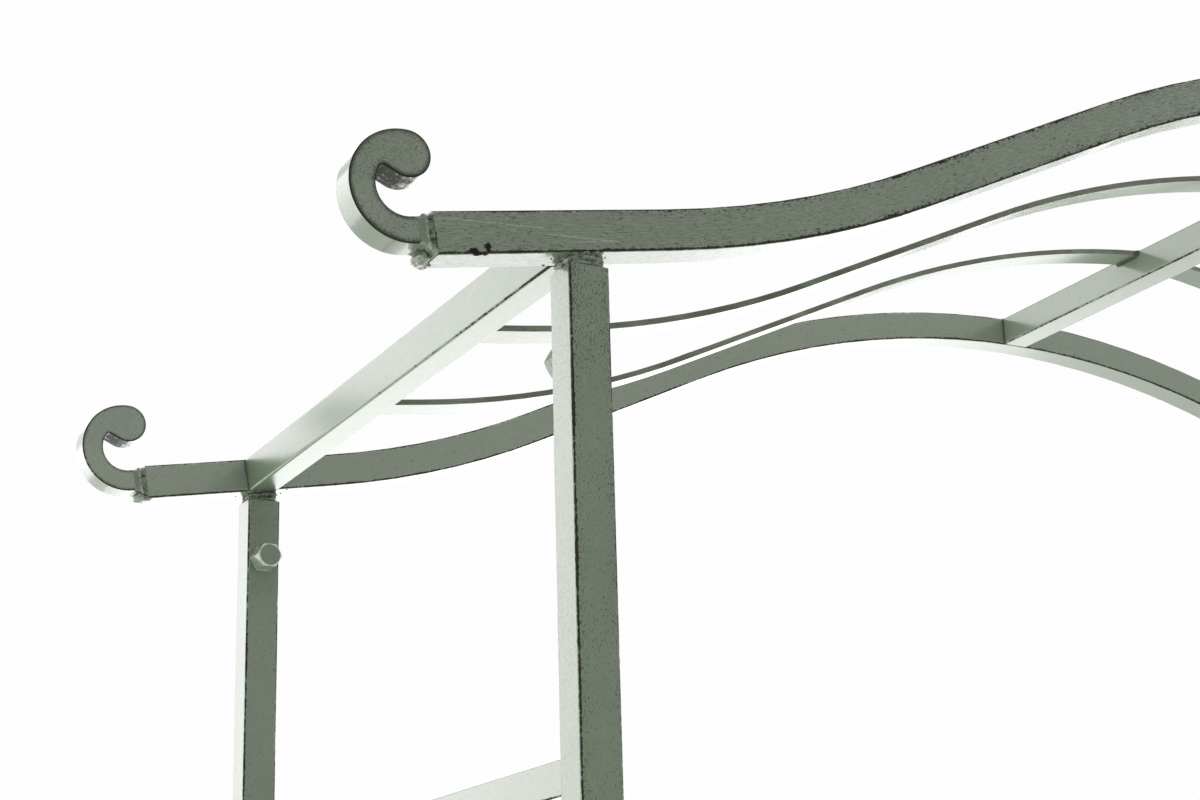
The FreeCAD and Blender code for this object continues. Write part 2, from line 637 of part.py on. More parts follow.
def spigot(corner, side, end):
    """A short square tube, cut to the rail's slope at its top."""
    body = new_body(corner + "_spigot")
    block = sloped_block(body, "side_view", SPIGOT, "Sizes.rail_lift + Sizes.spigot_depth")
    pad(body, block, SPIGOT, True)
    bore = new_sketch(body, "XY_Plane", "bore")
    bore_size = "Sizes.spigot_size - 2 * Sizes.spigot_wall"
    rectangle(bore, "bore", bore_size, bore_size)
    pocket(body, bore, symmetric=True)
    past_bore = (size.spigot_size / 2 - size.spigot_wall / 2) * 2 ** 0.5
    round_edges(body, "Sizes.spigot_corner", runs_along(UP, past_bore))
    body.Placement = under_rail_placement(side, end)
    return body


def spigot_weld(corner, side, end):
    """The weld round the spigot, from the rail's underside down to the post's top."""
    body = new_body(corner + "_spigot_weld")
    block = sloped_block(body, "side_view", "Sizes.spigot_weld_size", "Sizes.rail_lift")
    pad(body, block, "Sizes.spigot_weld_size", True)
    hole = new_sketch(body, "XY_Plane", "hole")
    rectangle(hole, "hole", SPIGOT, SPIGOT)
    pocket(body, hole, symmetric=True)
    body.Placement = under_rail_placement(side, end)
    return body


# Set bolts, nuts and feet

def bolt_placement(side, end, from_face):
    """Frame on the bolt's axis, its Z axis pointing out of the post's inner face."""
    inner_face = size.depth / 2 - size.tube_size / 2
    place = Vector(side * HALF_SPAN, end * (inner_face - from_face), BOLT_HEIGHT)
    return Placement(place, Rotation(ACROSS, 90 * end))


def hexagon(name, height):
    prism = primitive("Prism", name, Circumradius="Sizes.bolt_flats / sqrt(3)", Height=height)
    prism.Polygon = HEX_SIDES
    return prism


def bolt(corner, side, end):
    """A hex set bolt: its head clears the nut, its tip stops at the spigot."""
    label = corner + "_bolt"
    crown = primitive("Cone", label + "_crown", Height="Sizes.bolt_head", Radius2="Sizes.bolt_crown / 2",
                      Radius1="Sizes.bolt_crown / 2 + Sizes.bolt_head / tan(Sizes.bolt_chamfer * 1 deg)")
    head = combine(label + "_head", hexagon(label + "_hexagon", "Sizes.bolt_head"), crown, "Common")
    head_to_post = size.nut_height + size.bolt_head_gap
    reach = ("Sizes.nut_height + Sizes.bolt_head_gap + (Sizes.tube_size - Sizes.spigot_size) / 2"
             " - Sizes.bolt_tip_gap")
    shank = primitive("Cylinder", label + "_shank", Radius="Sizes.bolt_size / 2", Height=reach)
    shank.setExpression("Placement.Base.z", "-(%s)" % reach)
    node = combine(label, head, shank, "Fuse")
    node.Placement = bolt_placement(side, end, head_to_post)
    return node


def nut(corner, side, end):
    label = corner + "_nut"
    bore = primitive("Cylinder", label + "_bore", Height="Sizes.nut_height",
                     Radius="Sizes.bolt_size / 2 + Sizes.thread_clearance")
    node = combine(label, hexagon(label + "_hexagon", "Sizes.nut_height"), bore, "Cut")
    node.Placement = bolt_placement(side, end, 0)
    return node


def foot(corner, side, end):
    """A square base plate with a bolt hole near each corner."""
    body = new_body(corner + "_foot")
    outline = new_sketch(body, "XY_Plane", "outline")
    rectangle(outline, "plate", "Sizes.foot_size", "Sizes.foot_size")
    pad(body, outline, "Sizes.foot_thickness")
    round_edges(body, "Sizes.foot_corner", runs_along(UP, size.foot_size / 2))
    centre = new_sketch(body, "XY_Plane", "hole")
    half_spacing = "Sizes.foot_hole_spacing / 2"
    circle(centre, "Sizes.foot_hole", right=half_spacing, above=half_spacing)
    hole = pocket(body, centre, symmetric=True)
    holes = body.newObject("PartDesign::PolarPattern", body.Label + "_holes")
    holes.Originals = [hole]
    holes.Axis = (origin_feature(body, "Z_Axis"), [""])
    holes.Angle = 360
    holes.Occurrences = FOOT_HOLES
    body.Tip = holes
    doc.recompute()
    body.Placement = Placement(Vector(side * HALF_SPAN, end * size.depth / 2, 0), NO_TURN)
    return body


# The whole arch

def canopy():
    nodes = [rail("front_rail", FRONT), rail("back_rail", BACK)]
    for name, side in SIDES:
        out = HALF_SPAN + size.eave_bar_shift * cos(EAVE)
        height = RAIL_OVER_POST - size.eave_bar_shift * sin(EAVE)
        nodes.append(cross_tube(name + "_eave_bar", "tube", Vector(side * out, 0, height),
                                side * size.eave_slope))
    nodes.append(cross_tube("ridge_bar", "tube", Vector(0, 0, RIDGE_HEIGHT)))
    for corner in CORNERS:
        nodes += [scroll(*corner), slat(*corner), spigot(*corner)]
    nodes.append(group("scroll_welds", [scroll_weld(*corner) for corner in CORNERS]))
    nodes.append(group("spigot_welds", [spigot_weld(*corner) for corner in CORNERS]))
    return nodes


def side_frame(name, side):
    corners = [corner for corner in CORNERS if corner[1] == side]
    nodes = []
    for corner in corners:
        nodes += [post(*corner), foot(*corner), bolt(*corner)]
    for number in range(RUNGS_PER_SIDE):
        height = size.post_top - size.rung_drop - number * size.rung_pitch
        label = "%s_rung_%d" % (name, number + 1)
        nodes.append(cross_tube(label, "rung", Vector(side * HALF_SPAN, 0, height)))
    nodes.append(group(name + "_nuts", [nut(*corner) for corner in corners]))
    return nodes


def write_nodes(nodes):
    """Checks every object of the document, then writes one file for each node."""
    for item in doc.Objects:
        if "Invalid" in item.State or "Error" in item.State:
            raise RuntimeError("%s failed: %s" % (item.Label, item.State))
    for node in nodes:
        if node.Shape.isNull() or not node.Shape.isValid():
            raise RuntimeError(node.Label + " has no valid shape")
    os.makedirs("parts", exist_ok=True)
    for node in nodes:
        node.Shape.exportStep("parts/%s.step" % node.Label)
    print("%d nodes written" % len(nodes))


arch = canopy()
for side_name, side_way in SIDES:
    arch += side_frame(side_name, side_way)
doc.recompute()
write_nodes(arch)
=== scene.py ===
import math
import random

import bmesh
import bpy
from bpy.props import FloatProperty, FloatVectorProperty, PointerProperty
from mathutils import Matrix, Vector, noise


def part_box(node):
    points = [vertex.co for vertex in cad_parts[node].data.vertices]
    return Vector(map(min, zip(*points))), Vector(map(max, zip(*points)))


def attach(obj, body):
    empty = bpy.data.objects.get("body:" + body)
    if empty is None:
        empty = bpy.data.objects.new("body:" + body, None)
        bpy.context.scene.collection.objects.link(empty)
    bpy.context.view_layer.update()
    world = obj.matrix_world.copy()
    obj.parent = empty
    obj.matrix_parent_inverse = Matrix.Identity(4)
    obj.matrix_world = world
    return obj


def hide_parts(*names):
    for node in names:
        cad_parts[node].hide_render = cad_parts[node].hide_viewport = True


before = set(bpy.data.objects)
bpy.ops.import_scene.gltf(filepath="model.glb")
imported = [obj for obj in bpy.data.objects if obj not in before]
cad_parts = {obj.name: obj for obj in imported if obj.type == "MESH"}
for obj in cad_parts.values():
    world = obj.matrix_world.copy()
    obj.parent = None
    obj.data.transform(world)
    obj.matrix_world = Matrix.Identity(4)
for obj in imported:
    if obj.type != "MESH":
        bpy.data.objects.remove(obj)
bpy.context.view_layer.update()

bl_info = {
    "name": "Garden Arch Looks",
    "version": (1, 0, 0),
    "blender": (4, 5, 0),
    "location": "View3D > Sidebar > Arch",
    "description": "Worn sage paint, weld beads and a studio for a welded garden arch",
    "category": "Object",
}

ALONG_X = Vector((1, 0, 0))
ALONG_Y = Vector((0, 1, 0))
ALONG_Z = Vector((0, 0, 1))
CORNERS = ("front_left", "front_right", "back_left", "back_right")
SIDE_FRAMES = ("left", "right")
RUNGS = tuple("%s_rung_%d" % (side, number) for side in SIDE_FRAMES for number in range(1, 6))

# Factors on the paint's marks along X, Y and Z: the smaller, the longer the marks
EVEN = (1, 1, 1)
BAR_GRAIN = (1, 0.2, 1)
POST_GRAIN = (1, 1, 0.45)
RAIL_GRAIN = (0.25, 1, 1)
SLAT_GRAIN = (0.14, 1, 1)
DIRT_GRAIN = (0.3, 1, 1)
BRUSH_STROKE = (0.12, 1, 1)
# Scales of the paint's noises, in marks per metre
DRIFT_SCALE = 6.0
HEAVY_SCALE = 24.0
CROWD_SCALE = 26.0
RUST_SCALE = 45.0
DIRT_SCALE = 60.0
MOTTLE_SCALE = 160.0
FLAKE_SCALE = 240.0
CHIP_SCALE = 260.0
WELD_FLAKE_SCALE = 280.0
RAGGED_SCALE = 320.0
SCRATCH_SCALE = 330.0
RIM_SCALE = 420.0
# Shifts that keep the paint's noises from falling on one another
GRAIN_SHIFT = (0.7, 0.3, 0.2)
CROWD_SHIFT = (3.1, 1.7, 0.4)
FLECK_SHIFT = (1.3, 2.9, 0.6)
# Size of the coarse flecks, and the length at a post's top that is pitted more
FLECK_SIZE = 0.0013
WORN_TOP = 0.10
# Relief of the paint
BUMP_STRENGTH = 0.30
BUMP_DEPTH = 0.0004
# Factor on the turn of a bevelled normal, and steps of the curve that follows a rail
EDGE_TURN = 3.4
LINE_STEPS = 10
# Distances from the ridge between which the brush strokes fade
BRUSH_NEAR = 0.18
BRUSH_FAR = 0.38
# Flaked paint under a scroll's hook, with painted shade that thickens deeper in: heights from the scroll's
# middle, and distances in from its end over which the shade comes in
HOOK_START = -0.006
HOOK_FULL = 0.004
HOOK_SHADE_START = 0.045
HOOK_SHADE_FULL = 0.029
# Distances from a rail's end between which the flaked paint on its weld fades
WELD_FLAKE_NEAR = 0.0026
WELD_FLAKE_FAR = 0.0044
# Marks on the front rail, in metres along it and above its centreline from the left eave bar:
# scratches from start to end, and chips with their place and size
SCRATCHES = (((-0.090, 0.0085), (-0.026, 0.0015)), ((-0.024, -0.0020), (0.021, -0.0073)),
             ((-0.008, -0.0069), (0.016, -0.0066)), ((-0.049, 0.0062), (-0.047, 0.0078)))
SCRATCH_WIDTH = 0.0004
CHIPS = (((-0.0704, -0.0108), (0.0034, 0.004, 0.0014)), ((-0.0622, -0.0086), (0.0019, 0.004, 0.0034)),
         ((-0.0668, -0.0126), (0.0068, 0.004, 0.0018)), ((-0.0932, -0.0040), (0.0016, 0.004, 0.0042)))

# Weld beads in metres: how far they stay inside a face, how deep their root lies, when two points are one
FLUSH = 0.0002
ROOT_IN = 0.0006
ROOT_DEEP = 0.0004
SAME_PLACE = 0.000001
# A bead's section and skin: steps round it, scale of its noise, shares of noise and ripple, flattening
BEAD_STEPS = 5
BEAD_SCALE = 130.0
BEAD_UNEVEN = 0.28
BEAD_WAVE = 0.10
BEAD_HOLLOW = 0.18
# Thickness of the flat bars, and the radii of the bars' corners
SLAT_THICK = 0.004
TUBE_CORNER = 0.002
RUNG_CORNER = 0.0015
SLAT_CORNER = 0.0006
# Scales of the noise on the large welds, in lumps per metre, and on a drop, in lumps per radius
COLLAR_SCALE = 210.0
CREST_SCALE = 160.0
SPIGOT_SCALE = 260.0
DROP_SCALE = 1.7
# Drops of weld under a rail's end: place, size, height of the lumps and seed
DROPS = (((0.0042, 0.003, -0.0100), (0.0050, 0.0078, 0.0036), 0.0008, 3.0),
         ((0.0008, 0.0070, -0.0116), (0.0046, 0.0044, 0.0022), 0.0007, 9.0))
# Spatter beside a spigot: tries, reach along X and Y, what the spigot covers, radius and height of balls
SPATTER_TRIES = 26
SPATTER_X = 0.019
SPATTER_Y = 0.0105
SPATTER_CLEAR = 0.0135
SPATTER_SIZE = (0.0004, 0.0010)
SPATTER_FLAT = 0.7

# Lamps: place, the place they look at, width and height, and the setting that holds their power
LAMPS = {
    "left_softbox": ((-7.0, 1.3, 1.4), (0, 0.3, 1.4), (3.6, 3.6), "left_light"),
    "right_softbox": ((7.0, 1.3, 1.4), (0, 0.3, 1.4), (3.6, 3.6), "right_light"),
    "low_light_table": ((0, 0, -10.0), (0, 0, 0), (11.0, 11.0), "low_light"),
    "overhead_softbox": ((0, 0, 5.2), (0, 0, 0), (4.0, 4.0), "top_light"),
    "back_left_wall": ((-3.94, 5.0, 2.8), (-3.94, 0, 2.8), (3.42, 4.8), "back_left_light"),
    "back_right_wall": ((3.2, 5.0, 2.6), (3.2, 0, 2.6), (8.0, 5.4), "back_right_light"),
}
# Floor: cells along a side, scale of its clouds and how dark they are
FLOOR_CELLS = 24
FLOOR_SCALE = 1.6
FLOOR_SHADE = 0.97
# Width of the camera's film, in millimetres
FILM_WIDTH = 36.0


# Places read from the frame

def middle(node):
    low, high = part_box(node)
    return (low + high) / 2


def across(node, axis=0):
    """Width of a node along X, or along another axis."""
    low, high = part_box(node)
    return high[axis] - low[axis]


def side_of(corner):
    """-1 on the left of the walkway, 1 on the right."""
    return -1 if corner.endswith("left") else 1


def end_of(corner):
    """-1 at the front, 1 at the back."""
    return -1 if corner.startswith("front") else 1


def frame_at(origin, x, y, z):
    """Frame at an origin with three axes."""
    return Matrix.Translation(origin) @ Matrix((x, y, z)).transposed().to_4x4()


def eave_axes(side, slope):
    """Directions along the eave, out of the arch, and out of its top."""
    return (Vector((side * math.cos(slope), 0, -math.sin(slope))),
            Vector((side * math.sin(slope), 0, math.cos(slope))))


def at_corners(piece, end=""):
    """The nodes of a piece that stands at each corner, or at the front or the back ones only."""
    return [corner + piece for corner in CORNERS if corner.startswith(end)]


# Width of the square tube, and the middle of the left eave bar
TUBE = across("front_left_post")
EAVE = middle("left_eave_bar")


# Settings that a user would change

class ArchPaint(bpy.types.PropertyGroup):
    """Colours of the paint and of what shows where it has worn off; some are also laid on as painted
    highlight and painted shade.
    """

    sage: FloatVectorProperty(
        name="Sage", description="Main colour of the paint", subtype="COLOR",
        min=0, max=1, default=(0.124, 0.177, 0.103))
    # Moss is the paint's darker drift. It is also laid on as painted shade on the scrolls' downward faces.
    moss_and_shade: FloatVectorProperty(
        name="Moss", description="Darker tone that the paint drifts to", subtype="COLOR",
        min=0, max=1, default=(0.100, 0.144, 0.083))
    # Chalk is the paint's paler tone. It is also laid on as painted highlight: on weld ripples, and as an
    # even paleness over some pieces.
    chalk_and_highlight: FloatVectorProperty(
        name="Chalk", description="Paler tone where the paint is rubbed", subtype="COLOR",
        min=0, max=1, default=(0.27, 0.31, 0.25))
    # Scar is the dark metal under the paint. It is also laid over the welds as painted shade.
    scar_and_shade: FloatVectorProperty(
        name="Scar", description="Dark metal under the paint, along edges and in pits", subtype="COLOR",
        min=0, max=1, default=(0.020, 0.017, 0.014))
    rust: FloatVectorProperty(
        name="Rust", description="Brown tint in the bare places", subtype="COLOR",
        min=0, max=1, default=(0.027, 0.020, 0.016))
    scratch: FloatVectorProperty(
        name="Scratch", description="Pale line that a scratch leaves", subtype="COLOR",
        min=0, max=1, default=(0.40, 0.44, 0.34))
    edge_olive: FloatVectorProperty(
        name="Edge olive", description="Dirty tone on the flat bars' narrow edges", subtype="COLOR",
        min=0, max=1, default=(0.043, 0.050, 0.015))
    # Zinc shows where the bolts' edges are worn. It is also laid on their chamfers as a painted glint.
    zinc_and_glint: FloatVectorProperty(
        name="Zinc", description="Bright rim of the bolt heads and nuts", subtype="COLOR",
        min=0, max=1, default=(0.62, 0.64, 0.60))
    pit_size: FloatProperty(
        name="Pit size", description="Distance from pit to pit", unit="LENGTH",
        min=0.0003, max=0.01, default=0.0008)
    wear_width: FloatProperty(
        name="Wear width", description="Reach of the wear from a sharp edge", unit="LENGTH",
        min=0.0005, max=0.01, default=0.0026)


class ArchShape(bpy.types.PropertyGroup):
    """The bent line of the rails, which the paint's marks follow."""

    eave_slope: FloatProperty(
        name="Eave slope", description="Slope of the rails over the posts", subtype="ANGLE",
        min=0, max=1, default=math.radians(9.8))
    rail_slope: FloatProperty(
        name="Rail slope", description="Slope of the rails' steep run", subtype="ANGLE",
        min=0, max=1, default=math.radians(25.3))
    eave_run: FloatProperty(
        name="Eave run", description="Straight run from the post's centre to the hollow bend",
        unit="LENGTH", min=0, max=0.2, default=0.0538)
    eave_bend: FloatProperty(
        name="Eave bend", description="Radius of the hollow bend near the eave", unit="LENGTH",
        min=0.1, max=3, default=0.690)
    ridge_bend: FloatProperty(
        name="Ridge bend", description="Radius of the crown", unit="LENGTH",
        min=0.1, max=3, default=0.810)

    def drop(self, out):
        """How far the rail's centreline lies below the ridge, at a distance out from it."""
        steep, eave = self.rail_slope, self.eave_slope
        crown_end = self.ridge_bend * math.sin(steep)
        eave_start = -middle("front_left_post").x - self.eave_run * math.cos(eave)
        hollow_start = eave_start - self.eave_bend * (math.sin(steep) - math.sin(eave))
        crown_drop = self.ridge_bend * (1 - math.cos(steep))
        steep_drop = crown_drop + (hollow_start - crown_end) * math.tan(steep)
        if out < crown_end:
            return self.ridge_bend - math.sqrt(self.ridge_bend ** 2 - out ** 2)
        if out < hollow_start:
            return crown_drop + (out - crown_end) * math.tan(steep)
        slope = math.asin(math.sin(steep) - (min(out, eave_start) - hollow_start) / self.eave_bend)
        hollow_drop = steep_drop + self.eave_bend * (math.cos(slope) - math.cos(steep))
        return hollow_drop + max(out - eave_start, 0) * math.tan(eave)


class ArchWelds(bpy.types.PropertyGroup):
    """Sizes of the weld beads."""

    bead: FloatProperty(
        name="Bead", description="Leg of the weld round bars and rungs", unit="LENGTH",
        min=0.0005, max=0.01, default=0.0016)
    slat_bead: FloatProperty(
        name="Slat bead", description="Leg of the weld at the flat bars' ends", unit="LENGTH",
        min=0.0005, max=0.01, default=0.0028)
    nut_bead: FloatProperty(
        name="Nut bead", description="Leg of the weld round the nuts", unit="LENGTH",
        min=0.0003, max=0.005, default=0.0012)
    ripple: FloatProperty(
        name="Ripple", description="Length of one ripple along a bead", unit="LENGTH",
        min=0.0005, max=0.02, default=0.0034)
    lump: FloatProperty(
        name="Lump", description="Height of the lumps on the large welds", unit="LENGTH",
        min=0, max=0.005, default=0.0010)
    collar: FloatProperty(
        name="Collar", description="Length of the weld on the scroll's shank", unit="LENGTH",
        min=0.002, max=0.02, default=0.0095)
    shank_lift: FloatProperty(
        name="Shank lift", description="Scroll shank's centre above the rail's centre", unit="LENGTH",
        min=0, max=0.01, default=0.0025)
    shank_height: FloatProperty(
        name="Shank height", description="Height of the scroll's shank", unit="LENGTH",
        min=0.005, max=0.025, default=0.0155)


class ArchStage(bpy.types.PropertyGroup):
    """The studio: camera, lamps, floor and background."""

    camera_place: FloatVectorProperty(
        name="Camera place", description="Where the camera stands", subtype="TRANSLATION",
        default=(-1.26673, -1.29586, 1.60662))
    camera_turn: FloatProperty(
        name="Camera turn", description="Turn to the right of straight ahead", subtype="ANGLE",
        default=math.radians(25.396))
    camera_tip: FloatProperty(
        name="Camera tip", description="Tip upwards", subtype="ANGLE", default=math.radians(16.918))
    camera_roll: FloatProperty(
        name="Camera roll", description="Roll to the left", subtype="ANGLE", default=math.radians(-0.777))
    lens: FloatProperty(
        name="Lens", description="Focal length on a 36 mm wide film", unit="CAMERA", min=1, default=66.6)
    shift: FloatVectorProperty(
        name="Shift", description="Lens shift to the right and up", size=2, default=(0.08333, 0.025))
    white: FloatProperty(
        name="White", description="Brightness of the background", subtype="FACTOR",
        min=0, max=1, default=0.985)
    fill: FloatProperty(
        name="Fill", description="Even light from all round", subtype="FACTOR",
        min=0, max=2, default=0.76)
    floor_colour: FloatVectorProperty(
        name="Floor", description="Colour of the floor", subtype="COLOR", min=0, max=1,
        default=(0.64, 0.64, 0.63))
    floor_size: FloatProperty(
        name="Floor size", description="Side of the floor", unit="LENGTH", default=24.0)
    floor_near: FloatProperty(
        name="Floor near", description="Distance at which the floor starts to fade", unit="LENGTH",
        min=0, default=1.2)
    floor_far: FloatProperty(
        name="Floor far", description="Distance at which the floor has become white", unit="LENGTH",
        min=0, default=4.5)
    left_light: FloatProperty(
        name="Left light", description="Power of the soft light on the left", unit="POWER",
        min=0, default=140.0)
    right_light: FloatProperty(
        name="Right light", description="Power of the soft light on the right", unit="POWER",
        min=0, default=120.0)
    low_light: FloatProperty(
        name="Low light", description="Power of the light table under the floor", unit="POWER",
        min=0, default=1200.0)
    top_light: FloatProperty(
        name="Top light", description="Power of the soft light overhead", unit="POWER",
        min=0, default=60.0)
    back_left_light: FloatProperty(
        name="Back left light", description="Power of the light wall behind on the left", unit="POWER",
        min=0, default=108.0)
    back_right_light: FloatProperty(
        name="Back right light", description="Power of the light wall behind on the right", unit="POWER",
        min=0, default=162.0)


# Materials

class Nodes:
    """Adds nodes to a tree and joins them."""

    def __init__(self, tree):
        self.nodes = tree.nodes
        self.links = tree.links

    def feed(self, socket, value):
        """Links an output to a socket, or sets the socket's own value."""
        if isinstance(value, bpy.types.NodeSocket):
            self.links.new(value, socket)
        elif socket.type == "RGBA":
            socket.default_value = (value[0], value[1], value[2], 1.0)
        else:
            socket.default_value = value

    def add(self, kind, values=None, **settings):
        """Adds a node, feeds its sockets by name or number, and returns its outputs."""
        node = self.nodes.new("ShaderNode" + kind)
        for key, value in settings.items():
            setattr(node, key, value)
        for key, value in (values or {}).items():
            self.feed(node.inputs[key], value)
        return node.outputs

    def math(self, operation, first, second=0.0, clamp=False):
        return self.add("Math", {0: first, 1: second}, operation=operation, use_clamp=clamp)[0]

    def times(self, first, second):
        return self.math("MULTIPLY", first, second)

    def plus(self, first, second):
        return self.math("ADD", first, second)

    def minus(self, first, second):
        return self.math("SUBTRACT", first, second)

    def larger(self, first, second):
        return self.math("MAXIMUM", first, second)

    def unsigned(self, value):
        return self.math("ABSOLUTE", value)

    def rest_of(self, share):
        """What a share leaves of 1."""
        return self.math("SUBTRACT", 1.0, share)

    def vector_math(self, operation, *values):
        return self.add("VectorMath", dict(enumerate(values)), operation=operation)

    def blend(self, amount, first, second):
        """From the first shader to the second."""
        return self.add("MixShader", {0: amount, 1: first, 2: second})[0]

    def seen(self):
        """1 for what the eye, a reflection or glass shows, 0 for the light that falls on the object."""
        path = self.add("LightPath")
        shown = self.larger(path["Is Camera Ray"], path["Is Glossy Ray"])
        return self.larger(shown, path["Is Transmission Ray"])


class Finish(Nodes):
    """A procedural material, put together node by node."""

    def __init__(self, name):
        self.material = bpy.data.materials.new(name)
        self.material.use_nodes = True
        super().__init__(self.material.node_tree)
        self.shader = self.nodes["Principled BSDF"]
        self.place = self.add("TexCoord")["Object"]
        self.normal = self.add("NewGeometry")["True Normal"]

    def moved(self, vector, offset):
        return self.vector_math("ADD", vector, offset)["Vector"]

    def scaled(self, vector, factors):
        return self.vector_math("MULTIPLY", vector, factors)["Vector"]

    def dot(self, first, second):
        return self.vector_math("DOT_PRODUCT", first, second)["Value"]

    def length(self, vector):
        return self.vector_math("LENGTH", vector)["Value"]

    def noise(self, vector, scale, detail=4.0, roughness=0.6):
        values = {"Vector": vector, "Scale": scale, "Detail": detail, "Roughness": roughness}
        return self.add("TexNoise", values)["Fac"]

    def step(self, value, low, high, top=1.0):
        """Rises smoothly from nothing at low to top at high."""
        values = {"Value": value, "From Min": low, "From Max": high, "To Max": top}
        return self.add("MapRange", values, interpolation_type="SMOOTHSTEP")["Result"]

    def mix(self, amount, first, second):
        """From the first colour to the second, through the sockets that the node has for colours."""
        return self.add("Mix", {0: amount, 6: first, 7: second}, data_type="RGBA")[2]

    def unbent(self, shape):
        """Places measured from the bent rail's centreline, so that marks follow the bar."""
        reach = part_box("front_rail")[1].x
        depth = shape.drop(reach)
        parts = self.add("SeparateXYZ", {0: self.place})
        line = self.nodes.new("ShaderNodeFloatCurve")
        points = line.mapping.curves[0].points
        points[0].location = (0.0, 0.0)
        points[1].location = (1.0, 1.0)
        for step in range(1, LINE_STEPS):
            points.new(step / LINE_STEPS, shape.drop(reach * step / LINE_STEPS) / depth)
        line.mapping.update()
        self.feed(line.inputs["Value"], self.math("DIVIDE", self.unsigned(parts["X"]), reach))
        height = self.plus(parts["Z"], self.times(line.outputs["Value"], depth))
        return self.add("CombineXYZ", {"X": parts["X"], "Y": parts["Y"], "Z": height})["Vector"]

    def facing(self, direction):
        """1 on faces that look along a direction or against it, 0 on those beside it."""
        value = self.dot(self.normal, direction)
        return self.times(value, value)

    def looking(self, direction):
        """1 on faces that look along a direction, 0 on those that look against it."""
        return self.step(self.dot(self.normal, direction), 0.0, 0.25)

    def rounded_corner(self, first, second):
        """0 on the two faces of a tube, 1 in the middle of the rounded corner between them."""
        both = self.times(self.dot(self.normal, first), self.dot(self.normal, second))
        return self.times(self.times(both, both), 4.0)

    def rounded_rim(self, axis):
        """The same for a bent bar, whose front and back face look along an axis."""
        flat = self.facing(axis)
        return self.times(self.times(flat, self.rest_of(flat)), 4.0)

    def near_edge(self, reach):
        """1 on a sharp edge, falling to 0 at a reach from it."""
        bevelled = self.add("Bevel", {"Radius": reach}, samples=6)["Normal"]
        turned = self.rest_of(self.dot(bevelled, self.normal))
        return self.math("MULTIPLY", turned, EDGE_TURN, clamp=True)

    def surface(self, **values):
        """Feeds the shader's sockets, named with underscores for spaces."""
        for key, value in values.items():
            self.feed(self.shader.inputs[key.replace("_", " ")], value)


